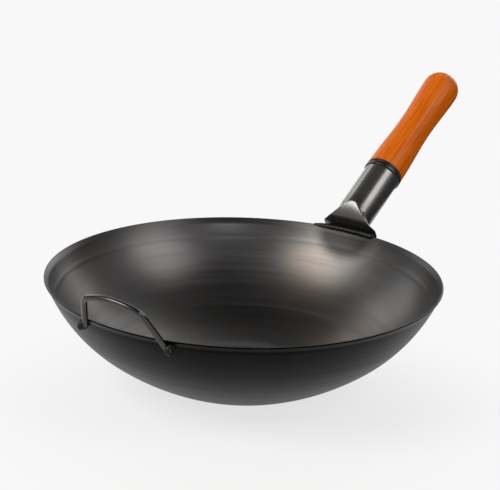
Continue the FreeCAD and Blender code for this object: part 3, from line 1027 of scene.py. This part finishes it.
@dataclass
class Socket:
    """Tube socket: round at the mouth, pressed to a nose and flattened onto the wall, and its weld."""

    axis: HandleAxis
    bowl: Bowl
    mouth: float
    radius: float = 18.0
    wall: float = 1.5
    mouth_round: float = 0.6
    bore_foot: float = 21.0
    nose_start: float = 15.5
    nose_depth: float = 9.0
    nose_foot: float = -1.0
    nose_steps: tuple[float, ...] = (4.0, 15.5, 3.5, 12.0)
    nose_headings: tuple[float, ...] = (0.0, 22.0, 36.0, 80.0, 84.0)
    nose_crown: float = 0.9
    crease_angle: float = 10.0
    ridge_start: float = 15.5
    ridge_depth: float = 11.3
    ridge_run: float = 26.5
    ridge_flare: float = 1.12
    half_width: float = 30.0
    under_depth: float = 17.0
    tab_drop: float = 17.4
    tab_half_width: float = 24.0
    tab_thickness: float = 4.6
    tab_bite: float = 0.7
    fine_rows: int = 400
    nose_rows: int = 60
    tab_rows: int = 24
    tube_rows: int = 26
    mouth_rows: int = 5
    along_passes: int = 6
    round_passes: int = 3
    columns: int = 160
    bead_radius: float = 2.6
    bead_drop: float = 1.0
    bead_bite: float = 0.8
    rim_bead_radius: float = 3.7
    rim_bead_lift: float = 0.4
    rim_bead_rise: float = 1.6
    rim_bead_run_out: float = 9.0
    rim_bead_taper: float = 26.0
    ripple_step: float = 3.4
    ripple_share: float = 0.045
    ripple_drift: float = 0.37
    ripple_sway: float = 0.29
    sway_shift: float = 1.0
    lump_share: float = 0.35
    lump_at: float = 1.4
    thin_share: float = 0.2
    bead_step: float = 0.5
    bead_passes: int = 8
    bead_columns: int = 24
    side_rows: int = 24
    foot_rows: int = 60
    rim_bead_rows: int = 70

    def nose_line(self, share: np.ndarray) -> np.ndarray:
        """The middle of the nose's face, as (under, along) in the handle's frame.

        The line's heading turns from along the tube to across it and is summed up along its length. The
        small error at its end is taken out evenly along the line.

        Args:
            share: places along the line, from 0 at the round tube to 1 at the flange.

        Returns:
            The points there.
        """
        knots = np.concatenate([[0.0], np.cumsum(self.nose_steps)])
        run = np.linspace(0, knots[-1], self.fine_rows)
        heading = np.radians(np.interp(run, knots, self.nose_headings))
        steps = np.stack([np.sin(heading), -np.cos(heading)], axis=1) * (run[1] - run[0])
        line = np.array([-self.radius, self.nose_start]) + np.cumsum(steps, axis=0) - steps[0]
        line += (run / run[-1])[:, None] * (np.array([self.nose_depth, self.nose_foot]) - line[-1])
        return spread(line, share * length_of(line))

    def section(self, share: np.ndarray) -> np.ndarray:
        """Sections of the pressed stretch, in the handle's frame.

        Half of each section is the nose's face and half is the tube's back. The face is nearly flat between
        two ridges: its middle follows the nose's line and its edges lie deeper by the crown. It widens by
        a power of the distance along that line up to the flange's width. The back is the tube's circle
        going over, by the share, into a flat arch, and is pulled to the ridges by the cube of the share
        of its half width.

        Args:
            share: how far each section is pressed, from 0 at the round tube to 1 at the flange.

        Returns:
            A grid of points, one section in each row.
        """
        middle = self.nose_line(share)[:, None]
        run = share[:, None] * sum(self.nose_steps)
        share = share[:, None]
        angle = math.radians(self.crease_angle)
        top_width = self.radius * math.sin(angle)
        crown = between(self.radius * (1 - math.cos(angle)), self.nose_crown, share)
        opened = np.minimum(run / self.ridge_run, 1.0) ** self.ridge_flare
        width = top_width + (self.half_width - top_width) * opened
        half = self.columns // 2
        across = np.linspace(-1, 1, half, endpoint=False)[None, :]
        face = np.stack(
            [middle[..., 0] + crown * across**2, width * across, middle[..., 1] + 0 * across], axis=-1
        )
        ridge = np.stack([middle[..., 0] + crown, width, middle[..., 1]], axis=-1)
        plain_ridge = np.stack(
            [
                between(-self.radius * math.cos(angle), self.ridge_depth, share),
                between(top_width, self.half_width, share),
                between(self.ridge_start, self.nose_foot, share),
            ],
            axis=-1,
        )
        around = np.linspace(1, -1, half, endpoint=False)[None, :]
        turn = (math.pi - angle) * around
        flat_x = self.ridge_depth + (self.under_depth - self.ridge_depth) * (1 - around**2)
        back = np.stack(
            [
                between(self.radius * np.cos(turn), flat_x, share),
                between(self.radius * np.sin(turn), self.half_width * around, share),
                plain_ridge[..., 2] + 0 * around,
            ],
            axis=-1,
        )
        pull = (ridge - plain_ridge) * np.abs(around[..., None]) ** 3
        pull[..., 1] *= np.sign(around)
        return np.concatenate([face, back + pull], axis=1)

    def tab_end(self) -> np.ndarray:
        """The flange's last section: one line sunk a little into the wall and one arch outside it.

        The arch rises from that line at its ends to the thickness in its middle, by one less the square
        of the share of its half width.

        Returns:
            The section's points, in the wok's frame.
        """
        half = self.columns // 2
        across = np.linspace(-1, 1, half, endpoint=False)
        drop = np.full(half, self.tab_drop)
        point, out = self.bowl.wall_point(drop, self.tab_half_width * across, Side.HANDLE)
        other, other_out = self.bowl.wall_point(drop, -self.tab_half_width * across, Side.HANDLE)
        thick = -self.tab_bite + (self.tab_thickness + self.tab_bite) * (1 - across**2)
        return np.concatenate([point - out * self.tab_bite, other + other_out * thick[:, None]])

    def build(self) -> Piece:
        """Build the tube: flange, nose, round stretch, rounded mouth and bore in one skin.

        The rows of the flange run straight from its last section to the nose's foot. All rows outside are
        then softened along and round the tube, so that ridges and bends get their rounds, and are kept
        out of the wall.

        Returns:
            The socket.
        """
        pressed = self.axis.place(self.section(np.linspace(1, 0, self.nose_rows)))
        blend = np.linspace(0, 1, self.tab_rows, endpoint=False)[:, None, None]
        flange = between(self.tab_end()[None], pressed[:1], blend)
        round_row = self.section(np.zeros(1))[0]
        straight = np.linspace(0, 1, self.tube_rows + 1)[1:, None]
        tube = np.repeat(round_row[None], len(straight), axis=0)
        tube[..., 2] = round_row[:, 2] + straight * (self.mouth - self.mouth_round - round_row[:, 2])
        rows = np.concatenate([flange, pressed, self.axis.place(tube)])
        rows = soften(rows, self.along_passes, wrap=False)
        rows = np.swapaxes(soften(np.swapaxes(rows, 0, 1), self.round_passes, wrap=True), 0, 1)
        rows = self.bowl.keep_out(rows, self.tab_bite)
        inner, edge = self.radius - self.wall, self.mouth_round
        lip = outline(
            rounded_edge(
                (self.radius, self.mouth - edge), (self.radius - edge, self.mouth), self.mouth_rows
            ),
            (inner + edge / 3, self.mouth),
            (inner, self.mouth - edge / 3),
            (inner, self.bore_foot),
        )[1:]
        shares = round_row[:, :2] / np.linalg.norm(round_row[:, :2], axis=1, keepdims=True)
        bore = np.concatenate(
            [lip[:, None, :1] * shares[None], np.repeat(lip[:, None, 1:], self.columns, axis=1)], axis=-1
        )
        skin = Skin(np.concatenate([rows, self.axis.place(bore)]))
        return make_piece("handle_tube", [skin], Body.WOK, ["handle_socket"])

    def bead(self, line: np.ndarray, facing: np.ndarray, size: float, taper: float = 0.0) -> Skin:
        """A bead of weld along a line at the wall.

        Its radius swells and sinks in ripples of uneven length, with a slower wave under them. Without a
        taper it grows to a lump near each end, as a bell curve of the distance from that end. With a taper
        it grows from a thin start as the square root of the distance. Its back is flattened against the
        wall.

        Args:
            line: the bead's middle line.
            facing: the direction that the ring's first point lies in.
            size: the bead's radius.
            taper: the length over which the bead grows from its start, or 0.

        Returns:
            The bead's skin.
        """
        line = soften(line, self.bead_passes, wrap=False)
        length = length_of(line)
        places = rod_places(length, size, self.bead_step)
        phase = 2 * math.pi * places / self.ripple_step
        uneven = np.cos(phase + np.sin(self.ripple_drift * phase))
        slow = np.cos(self.ripple_sway * phase + self.sway_shift)
        radius = end_round(places, length, size, size) * (1 + self.ripple_share * (uneven + slow))
        if taper:
            radius *= between(self.thin_share, 1.0, np.sqrt(np.clip(places / taper, 0, 1)))
        else:
            from_end = np.minimum(places, length - places)
            radius *= 1 + self.lump_share * np.exp(-((from_end / size - self.lump_at) ** 2))
        out = np.repeat(facing[None], len(places), axis=0)
        points = tube_round(spread(line, places), out, radius, self.bead_columns)
        return Skin(self.bowl.keep_out(points, self.bead_bite))

    def build_weld(self) -> Piece:
        """Build the bead round the flange, and the heavy bead between nose and rim with its thin start.

        Returns:
            The weld.
        """
        narrow, wide = self.tab_half_width, self.half_width
        side = np.linspace(self.bead_drop, self.tab_drop, self.side_rows)
        lean = np.interp(side, [self.bead_drop, self.tab_drop], [wide, narrow])
        foot = np.linspace(narrow, -narrow, self.foot_rows)[1:-1]
        drop = np.concatenate([side, np.full(len(foot), self.tab_drop), side[::-1]])
        sideways = np.concatenate([lean, foot, -lean[::-1]])
        line, out = self.bowl.wall_point(drop, sideways, Side.HANDLE)
        around = self.bead(line, out[0], self.bead_radius)
        top = np.linspace(wide + self.rim_bead_run_out, -wide, self.rim_bead_rows)
        line, out = self.bowl.wall_point(np.full(len(top), self.bead_drop), top, Side.HANDLE)
        line = line + out * self.rim_bead_lift + [0.0, 0.0, self.rim_bead_rise]
        over = self.bead(line, out[0], self.rim_bead_radius, self.rim_bead_taper)
        return make_piece("socket_bead", [around, over], Body.WOK, ["socket_weld"])

    def dress(self, tube: Piece, weld: Piece) -> None:
        """Give the tube and its weld their finishes."""
        tube.data.materials.append(PolishedTube().make(self.axis))
        weld.data.materials.append(WELD.make())


@dataclass
class Grip:
    """Turned wooden grip with its spigot, and the collar that it clamps on the tube's mouth."""

    axis: HandleAxis
    mouth: float
    seat: float
    tip: float
    root_radius: float = 18.9
    root_round: float = 0.8
    waist_radius: float = 16.5
    waist_share: float = 0.48
    swell_radius: float = 18.4
    dome_length: float = 17.4
    dome_power: float = 2.25
    spigot_radius: float = 16.0
    spigot_length: float = 30.0
    spigot_bevel: float = 1.0
    bolt_radius: float = 5.0
    bolt_in_wood: float = 52.0
    collar_radius: float = 19.2
    collar_round: float = 1.1
    collar_bore: float = 16.4
    groove_at: float = 4.6
    groove_width: float = 0.9
    groove_depth: float = 0.8
    pole_radius: float = 0.05
    waist_rows: int = 28
    dome_rows: int = 26
    edge_rows: int = 5
    collar_rows: int = 7
    columns: int = 128

    def profile(self) -> np.ndarray:
        """The grip's outline: bore, spigot, shoulder, hollow waist, swell and a domed end.

        The waist's line from shoulder to swell is two half waves: the radius falls from the root to the
        waist and rises to the swell as a cosine of the distance. On the dome the shares of the radius
        and of the length, each raised to the dome's power, add up to one.

        Returns:
            Points of (radius, distance along the handle), from axis to axis.
        """
        swell = self.tip - self.dome_length
        waist = self.seat + (self.tip - self.seat) * self.waist_share
        foot = self.seat - self.spigot_length
        bore_end = foot + self.bolt_in_wood
        down = np.linspace(0, 1, self.waist_rows)
        wave = (1 - np.cos(math.pi * down)) / 2
        root = self.root_radius
        fall = root + (self.waist_radius - root) * wave
        rise = self.waist_radius + (self.swell_radius - self.waist_radius) * wave
        shoulder = self.seat + self.root_round
        hollow = np.stack([fall, shoulder + (waist - shoulder) * down], axis=1)
        swelling = np.stack([rise, waist + (swell - waist) * down], axis=1)
        turn = np.linspace(0, math.pi / 2, self.dome_rows)[1:-1]
        shares = np.stack([np.cos(turn), np.sin(turn)], axis=1) ** (2 / self.dome_power)
        dome = np.array([0.0, swell]) + shares * [self.swell_radius, self.dome_length]
        return outline(
            (self.pole_radius, bore_end),
            (self.bolt_radius, bore_end - 2 * self.bolt_radius),
            (self.bolt_radius, foot),
            (self.spigot_radius - self.spigot_bevel, foot),
            (self.spigot_radius, foot + self.spigot_bevel),
            (self.spigot_radius, self.seat),
            rounded_edge((root - self.root_round, self.seat), (root, shoulder), self.edge_rows),
            hollow,
            swelling,
            dome,
            (self.pole_radius, self.tip),
        )

    def build(self) -> Piece:
        """Turn the grip's outline round the handle's line."""
        grid = self.axis.place(spin(self.profile(), self.columns))
        return make_piece("wooden_grip", [Skin(grid)], Body.GRIP, ["grip"])

    def build_collar(self) -> Piece:
        """Turn the collar: a ring with rounded edges and one groove.

        Returns:
            The collar.
        """
        r, c = self.collar_radius, self.collar_round
        low, high = self.mouth, self.seat
        groove = self.mouth + self.groove_at
        half, deep = self.groove_width / 2, self.groove_depth
        edge = c / 3
        profile = outline(
            (self.collar_bore, low),
            rounded_edge((r - c, low), (r, low + c), self.collar_rows),
            rounded_edge((r, groove - half - edge), (r - edge, groove - half), self.edge_rows),
            (r - deep, groove - half),
            (r - deep, groove + half),
            rounded_edge((r - edge, groove + half), (r, groove + half + edge), self.edge_rows),
            rounded_edge((r, high - c), (r - c, high), self.collar_rows),
            (self.collar_bore, high),
        )
        skin = Skin(self.axis.place(spin(profile, self.columns)), ring=True)
        return make_piece("black_collar", [skin], Body.COLLAR, ["collar"])

    def dress(self, grip: Piece, collar: Piece) -> None:
        """Give the wood and the collar their finishes."""
        grip.data.materials.append(LacqueredBeech().make(self.axis))
        collar.data.materials.append(BlackEnamel().make())


@dataclass
class WireLoop:
    """Bent wire opposite the long handle: feet turned outwards on the wall, legs and a crowned top."""

    bowl: Bowl
    wire: float = 2.7
    slope: float = 60.4
    drop: float = 8.1
    foot_half_width: float = 43.0
    corner_half_width: float = 29.9
    corner_height: float = 37.4
    height: float = 44.7
    corner_round: float = 12.0
    foot_round: float = 4.5
    foot_length: float = 5.5
    bite: float = 0.3
    cut_round: float = 0.6
    bend_rows: int = 16
    crown_rows: int = 24
    step: float = 0.8
    columns: int = 28
    passes: int = 2
    bead_radius: float = 4.9
    bead_edge: float = 1.2
    bead_bite: float = 0.8
    cup_share: float = 0.9
    cup_back: float = 1.0
    cup_rows: int = 14
    cup_edge_rows: int = 7
    cup_columns: int = 40
    hollow_radius: float = 0.6
    hollow_depth: float = 0.4
    lumps: tuple[float, int, float] = (0.06, 3, 0.6)
    ripples: tuple[float, int, float] = (0.05, 5, 1.4)

    @property
    def out(self) -> np.ndarray:
        """The direction square to the wire's plane, outwards and down."""
        lean = math.radians(self.slope)
        return np.array([-math.sin(lean), 0.0, -math.cos(lean)])

    @property
    def up(self) -> np.ndarray:
        """The direction up the wire's plane."""
        lean = math.radians(self.slope)
        return np.array([-math.cos(lean), 0.0, math.sin(lean)])

    def half_line(self) -> np.ndarray:
        """One half of the wire's middle line in its own plane, from the foot's end to the top's middle.

        The leg is straight between the foot's round and the corner's round. The corner's round lies inside
        the leg's line and inside the crown's circle, which goes through both corners and the top.

        Returns:
            Points of (sideways, height).
        """
        foot, shoulder = self.foot_half_width, self.corner_half_width
        rise, top = self.corner_height, self.height
        leg = math.hypot(foot - shoulder, rise)
        along, up = (foot - shoulder) / leg, rise / leg
        crown = (shoulder**2 + (top - rise) ** 2) / (2 * (top - rise))
        crown_height = top - crown
        gap = crown - self.corner_round
        offset = foot * up - self.corner_round - crown_height * along
        chord = math.sqrt(gap**2 - offset**2)
        centre = np.array([offset * up - chord * along, crown_height + offset * along + chord * up])
        leg_top = centre + self.corner_round * np.array([up, along])
        crown_end = np.array([0.0, crown_height]) + (centre - [0.0, crown_height]) * crown / gap
        bend = np.array([(foot * up - self.foot_round * along + self.foot_round) / up, self.foot_round])
        leg_foot = bend - self.foot_round * np.array([up, along])
        return outline(
            (foot + self.foot_length, 0.0),
            arc((bend[0], 0.0), leg_foot, bend, self.bend_rows),
            arc(leg_top, crown_end, centre, self.bend_rows),
            arc(crown_end, (0.0, top), (0.0, crown_height), self.crown_rows),
        )

    def place(self, line: np.ndarray) -> np.ndarray:
        """Lean the wire's plane outwards from where its feet just bite the wall.

        Args:
            line: points of (sideways, height) in the wire's plane.

        Returns:
            Points in the wok's frame.
        """
        drop, sideways = np.array([self.drop]), np.array([self.foot_half_width])
        point, out = self.bowl.wall_point(drop, sideways, Side.LOOP)
        off = (self.wire - self.bite) / abs(out[0, 0])
        foot = np.array([point[0, 0] - off, 0.0, point[0, 2]])
        return foot + line[:, :1] * SIDEWAYS + line[:, 1:] * self.up

    def build(self) -> Piece:
        """Carry the wire's circle along its whole line, with the cut ends' edges rounded.

        Returns:
            The wire.
        """
        half = self.half_line()
        line = self.place(outline(half, half[::-1] * [-1, 1]))
        length = length_of(line)
        places = rod_places(length, self.cut_round, self.step)
        path = soften(spread(line, places), self.passes, wrap=False)
        out = np.repeat(self.out[None], len(path), axis=0)
        radius = end_round(places, length, self.wire, self.cut_round)
        skin = Skin(tube_round(path, out, radius, self.columns))
        return make_piece("loop_wire", [skin], Body.WOK, ["loop_handle"])

    def build_welds(self) -> Piece:
        """Build a cup of weld round the end of each foot.

        The cup's radius grows from the wire's to its own as a sine of the distance along the foot, swells
        and sinks a little round the foot, and turns in again to a hollow over the wire's cut end.

        Returns:
            The welds.
        """
        edge = self.bead_edge
        far = self.foot_half_width + self.foot_length
        start = self.wire * self.cup_share
        climb = np.linspace(0, 1, self.cup_rows)
        swell = start + (self.bead_radius - start) * np.sin(climb * math.pi / 2)
        level = self.foot_half_width - self.cup_back + climb * (self.foot_length - edge)
        cup = np.stack([swell, level], axis=1)
        hub = cup[-1] - [edge, 0.0]
        crest = (self.bead_radius - edge, far)
        profile = outline(
            cup,
            arc(cup[-1], crest, hub, self.cup_edge_rows),
            arc(crest, (self.bead_radius - 2 * edge, far - edge), hub, self.cup_edge_rows),
            (self.hollow_radius, far - edge - self.hollow_depth),
        )
        turn = full_turn(self.cup_columns)
        size, count, shift = self.lumps
        lumpy = 1 + size * np.cos(count * turn + shift)
        size, count, twist = self.ripples
        lumpy = lumpy + size * np.cos(count * turn + profile[:, 1:] * twist)
        ring = np.cos(turn)[:, None] * self.out + np.sin(turn)[:, None] * self.up
        reach = (profile[:, :1] * lumpy)[..., None] * ring
        middle = self.place(np.array([[0.0, 0.0]]))[0]
        skins = []
        for side in (1, -1):
            points = middle + side * profile[:, 1:, None] * SIDEWAYS + reach
            skins.append(Skin(self.bowl.keep_out(points, self.bead_bite)))
        return make_piece("loop_beads", skins, Body.WOK, ["loop_welds"])

    def dress(self, wire: Piece, welds: Piece) -> None:
        """Give the wire and its welds their finishes."""
        wire.data.materials.append(WIRE.make())
        welds.data.materials.append(WELD.make())


@dataclass
class Hardware:
    """What holds the grip inside the tube: bolt, nut, disc and their welds."""

    axis: HandleAxis
    bolt_foot: float
    bolt_tip: float
    nut_foot: float
    nut_top: float
    bolt_radius: float = 5.0
    bolt_bevel: float = 1.0
    machine_length: float = 16.0
    neck_length: float = 5.0
    pitch: float = 1.5
    depth_share: float = 0.6
    wood_pitch: float = 3.5
    wood_depth_share: float = 0.3
    wood_run_in: float = 4.0
    point_radius: float = 0.05
    least_radius: float = 0.04
    bolt_rows: int = 700
    bolt_columns: int = 32
    nut_across: float = 17.0
    nut_bore: float = 5.06
    nut_bevel: float = 0.4
    nut_cone: float = 30.0
    nut_rows: int = 33
    nut_columns: int = 96

    def build_bolt(self) -> Piece:
        """Build the bolt: a machine thread, a plain neck and a wood thread to a point.

        The radius falls from the crest by a triangle wave of the distance in pitches less the turn, so
        that the crest climbs one pitch in one turn. The depth fades out at the neck and at the ends.

        Returns:
            The bolt.
        """
        along = np.linspace(self.bolt_foot, self.bolt_tip, self.bolt_rows)[:, None]
        turn = full_turn(self.bolt_columns)
        thread_end = self.bolt_foot + self.machine_length
        wood_start = thread_end + self.neck_length
        machine = along < thread_end
        pitch = np.where(machine, self.pitch, self.wood_pitch)
        phase = (along / pitch - turn / (2 * math.pi)) % 1
        wave = 1 - np.abs(2 * phase - 1)
        run_out = np.clip((thread_end - along) / self.pitch, 0, 1)
        fade = run_out + np.clip((along - wood_start) / self.wood_run_in, 0, 1)
        crest = np.minimum(self.bolt_radius, self.bolt_radius - self.bolt_bevel + (along - self.bolt_foot))
        crest = np.minimum(crest, self.point_radius + (self.bolt_tip - along) / 2)
        wood_depth = self.wood_depth_share * self.wood_pitch
        depth = np.where(machine, self.depth_share * self.pitch, wood_depth) * fade
        radius = np.maximum(crest - depth * wave * crest / self.bolt_radius, self.least_radius)
        skin = Skin(self.axis.place(round_grid(radius, along, turn)))
        return make_piece("threaded_bolt", [skin], Body.GRIP, ["hanger_bolt"])

    def build_nut(self) -> Piece:
        """Build the nut: a hexagon whose corners are cut back by a cone at both faces.

        The radius at a turn is that of the flat there, but at each face no more than the cone's, which
        is the flats' half width at the face and widens inwards by the distance over the cone's tangent.

        Returns:
            The nut.
        """
        turn = full_turn(self.nut_columns)
        half = self.nut_across / 2
        flat = half / np.cos((turn + math.pi / 6) % (math.pi / 3) - math.pi / 6)
        along = np.linspace(self.nut_foot, self.nut_top, self.nut_rows)[:, None]
        inward = np.minimum(along - self.nut_foot, self.nut_top - along)
        cone = half + inward / math.tan(math.radians(self.nut_cone))
        side = round_grid(np.minimum(flat, cone), along, turn)
        bevel = self.nut_bevel
        bore = self.nut_bore + np.array([[bevel], [0.0], [0.0], [bevel]])
        level = np.array([[self.nut_top], [self.nut_top - bevel], [self.nut_foot + bevel], [self.nut_foot]])
        hole = round_grid(bore, level, turn)
        skin = Skin(self.axis.place(np.concatenate([side, hole])), ring=True)
        return make_piece("hexagon_nut", [skin], Body.WOK, ["socket_nut"])

    def dress(self, bolt: Piece, nut: Piece) -> None:
        """Plate bolt and nut, and give the disc and the welds inside the tube their steel.

        Args:
            bolt: the bolt.
            nut: the nut.
        """
        plate = ZINC.make()
        for piece in (bolt, nut):
            piece.data.materials.append(plate)
        for node, finish in {"nut_disc": RAW_STEEL, "disc_weld": WELD, "nut_weld": WELD}.items():
            mesh = frame["nodes"][node].data
            mesh.materials.clear()
            mesh.materials.append(finish.make())


# Studio


def direction(azimuth: float, elevation: float) -> np.ndarray:
    """The direction at degrees from -Y towards +X and up: (sin a cos e, -cos a cos e, sin e)."""
    a, e = math.radians(azimuth), math.radians(elevation)
    return np.array([math.sin(a) * math.cos(e), -math.cos(a) * math.cos(e), math.sin(e)])


@dataclass(frozen=True)
class PhotoCamera:
    """The camera that the photo was taken with, found from the rim's ellipse, the handle and the loop."""

    azimuth: float = -56.0
    elevation: float = 18.032
    roll: float = 1.976
    distance: float = 1800.0
    focal_pixels: float = 1960.6
    aim_right: float = 4.58
    aim_up: float = 120.56
    sensor: float = 36.0
    sight: float = 100000.0

    def axes(self) -> tuple[np.ndarray, np.ndarray, np.ndarray]:
        """The level picture's right and up directions, and the direction back to the camera."""
        right, back = direction(self.azimuth + RIGHT_ANGLE, 0.0), direction(self.azimuth, self.elevation)
        return right, np.cross(back, right), back

    def build(self) -> None:
        """Make the camera and let the scene use it."""
        right, up, back = self.axes()
        target = self.aim_right * right + self.aim_up * up
        place = (target + self.distance * back) * MM
        turn = math.radians(self.roll)
        leant_right = math.cos(turn) * right + math.sin(turn) * up
        leant_up = math.cos(turn) * up - math.sin(turn) * right
        data = bpy.data.cameras.new("photo_camera")
        data.sensor_width = self.sensor
        data.lens = self.focal_pixels * self.sensor / PICTURE_WIDTH
        data.clip_end = self.sight * MM
        camera = add_object("photo_camera", data)
        axes = Matrix((leant_right, leant_up, back)).transposed().to_4x4()
        camera.matrix_world = Matrix.Translation(Vector(place)) @ axes
        bpy.context.scene.camera = camera


@dataclass(frozen=True)
class Softbox:
    """A soft studio lamp, placed by its direction from the bowl, to the right of the camera and up."""

    name: str
    right_turn: float
    elevation: float
    width: float
    height: float
    radiance: float
    tint: str = "ffffff"
    distance: float = 3000.0
    power: float = 4.0

    def build(self, camera: PhotoCamera) -> None:
        """Make the lamp, facing the bowl, with the power for each square metre that its radiance takes.

        Args:
            camera: gives the direction that the turn is measured from.
        """
        back = Vector(direction(camera.azimuth + self.right_turn, self.elevation))
        data = bpy.data.lights.new(self.name, "AREA")
        data.shape = "RECTANGLE"
        data.size = self.width * MM
        data.size_y = self.height * MM
        data.energy = self.power * self.radiance * data.size * data.size_y
        data.color = linear(self.tint)[:3]
        lamp = add_object(self.name, data)
        facing = back.to_track_quat("Z", "Y").to_matrix().to_4x4()
        lamp.matrix_world = Matrix.Translation(back * self.distance * MM) @ facing
        lamp.visible_camera = False


@dataclass(frozen=True)
class BlackCard:
    """A black card that leans up from the floor and keeps one side dark in the wok's reflections."""

    name: str
    right_turn: float
    foot: float
    top: float
    width: float
    height: float
    black: str = "1a1a1a"

    def build(self, camera: PhotoCamera) -> None:
        """Make the card, facing the bowl and hidden from the camera.

        Args:
            camera: gives the direction that the turn is measured from.
        """
        azimuth = camera.azimuth + self.right_turn
        outward = direction(azimuth, 0.0)
        side = direction(azimuth + RIGHT_ANGLE, 0.0) * self.width / 2
        low = outward * self.foot
        high = outward * self.top + [0.0, 0.0, self.height]
        corners = np.array([low - side, low + side, high + side, high - side]) * MM
        mesh = bpy.data.meshes.new(self.name)
        mesh.from_pydata(corners.tolist(), [], [[0, 1, 2, 3]])
        card = add_object(self.name, mesh)
        card.visible_camera = False
        material, _, shader = new_material("black_card")
        feed(shader, {"Base Color": linear(self.black), "Roughness": 1.0})
        mesh.materials.append(material)


@dataclass(frozen=True)
class Studio:
    """Pale floor, a world that is bright at the horizon and dark overhead, softboxes and a black card.

    The sky pairs the sine of an elevation with the world's light there.
    """

    floor_reach: float = 40000.0
    floor_drop: float = 0.15
    floor_columns: int = 96
    floor_white: float = 0.94
    floor_lit: float = 0.95
    shadow_share: float = 0.23
    shadow_front: float = 120.0
    shadow_reach: float = 320.0
    mirror_reach: float = 360.0
    mirror_least: float = 0.7
    mirror_white: float = 0.8
    sky: tuple[tuple[float, float], ...] = (
        (0.0, 0.38),
        (0.42, 0.38),
        (0.62, 0.40),
        (0.86, 0.04),
        (0.97, 0.008),
    )
    boxes: tuple[Softbox, ...] = (
        Softbox("left_softbox", -64.0, 43.0, 1700.0, 1500.0, 5.8, "fffaf5"),
        Softbox("right_softbox", 68.0, 43.0, 1400.0, 1500.0, 2.7, "fffbfb"),
        Softbox("front_panel", -20.0, 66.0, 1800.0, 1000.0, 0.16),
        Softbox("back_left_softbox", -140.0, 26.0, 1500.0, 1400.0, 1.3),
        Softbox("back_right_softbox", 146.0, 16.0, 1500.0, 1000.0, 1.7),
        Softbox("back_right_tower", 150.0, 36.0, 640.0, 1300.0, 1.6),
        Softbox("back_panel", 170.0, 54.0, 1600.0, 1000.0, 0.5),
        Softbox("front_key", 12.0, 28.0, 600.0, 600.0, 4.0),
        Softbox("backdrop", 180.0, 6.0, 2400.0, 620.0, 0.95),
    )
    flag: BlackCard = BlackCard("right_flag", 112.0, 420.0, 1200.0, 900.0, 460.0)

    def build_floor(self, camera: PhotoCamera) -> None:
        """Lay a large pale disc that keeps a light shadow of the wok.

        The camera sees its white, mixed near the wok with the lit and shaded floor. Mirror rays see some of
        the white too, and less of it close under the wok. Both go over smoothly between a third of their
        reach and the whole of it.

        Args:
            camera: gives the side to which the shadow reaches furthest.
        """
        ring = round_grid(self.floor_reach, -self.floor_drop, full_turn(self.floor_columns)) * MM
        mesh = bpy.data.meshes.new("floor")
        mesh.from_pydata(ring.tolist(), [], [list(range(len(ring)))])
        floor = add_object("floor", mesh)
        material, tree, _ = new_material("pale_floor")
        tree.nodes.clear()
        lit = add_node(tree, "BsdfDiffuse", [(self.floor_lit,) * 3 + (1.0,)])
        glow = add_node(tree, "Emission", [(self.floor_white,) * 3 + (1.0,), 1.0])
        path = add_node(tree, "LightPath")
        mirror_rays = (path.outputs["Is Glossy Ray"], path.outputs["Is Transmission Ray"])
        mirror = add_node(tree, "Math", mirror_rays, operation="MAXIMUM")
        place = add_node(tree, "TexCoord").outputs["Object"]
        front = tuple(camera.axes()[2] * [1, 1, 0] * self.shadow_front * MM)
        shaded, dimmed = 1 - self.shadow_share, self.mirror_least * self.mirror_white
        fades = (
            (path.outputs["Is Camera Ray"], front, self.shadow_reach, shaded, 1.0),
            (mirror, (0.0, 0.0, 0.0), self.mirror_reach, dimmed, self.mirror_white),
        )
        shares = []
        for seen, centre, reach, least, most in fades:
            far = add_node(tree, "VectorMath", (place, centre), operation="DISTANCE")
            span = (far, reach * MM / 3, reach * MM, least, most)
            share = add_node(tree, "MapRange", span, interpolation_type="SMOOTHSTEP")
            shares.append(add_node(tree, "Math", (seen, share), operation="MULTIPLY"))
        shown = add_node(tree, "Math", shares, operation="MAXIMUM")
        add_node(tree, "OutputMaterial", [add_node(tree, "MixShader", (shown, lit, glow))])
        mesh.materials.append(material)

    def build_world(self) -> None:
        """Make the world: its light falls off from the horizon to the zenith."""
        world = bpy.data.worlds.new("studio")
        world.use_nodes = True
        bpy.context.scene.world = world
        tree = world.node_tree
        tree.nodes.clear()
        parts = add_node(tree, "SeparateXYZ", [add_node(tree, "TexCoord").outputs["Generated"]])
        light = add_node(tree, "ValToRGB", [parts.outputs["Z"]], self.sky)
        add_node(tree, "OutputWorld", [add_node(tree, "Background", (light, 1.0))])

    def build(self, camera: PhotoCamera) -> None:
        """Make floor, world and lamps.

        Args:
            camera: gives the direction that the lamps are placed from.
        """
        self.build_floor(camera)
        self.build_world()
        for box in self.boxes:
            box.build(camera)
        self.flag.build(camera)
        bpy.context.scene.view_settings.view_transform = "Standard"


def main() -> None:
    """Build every sub-assembly in order, then the studio."""
    logging.basicConfig(level=logging.INFO, format="%(name)s: %(message)s")
    axis = HandleAxis.from_frame()
    low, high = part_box("bowl")
    bowl = Bowl(rim_radius=(high.x - low.x) / 2 / MM, height=high.z / MM)
    bowl.dress(bowl.build())
    mouth, seat = axis.span("collar")
    socket = Socket(axis, bowl, mouth)
    socket.dress(socket.build(), socket.build_weld())
    grip = Grip(axis, mouth, seat, axis.span("grip")[1])
    grip.dress(grip.build(), grip.build_collar())
    loop = WireLoop(bowl)
    loop.dress(loop.build(), loop.build_welds())
    hardware = Hardware(axis, *axis.span("hanger_bolt"), *axis.span("socket_nut"))
    hardware.dress(hardware.build_bolt(), hardware.build_nut())
    camera = PhotoCamera()
    camera.build()
    Studio().build(camera)


if __name__ == "__main__":
    main()
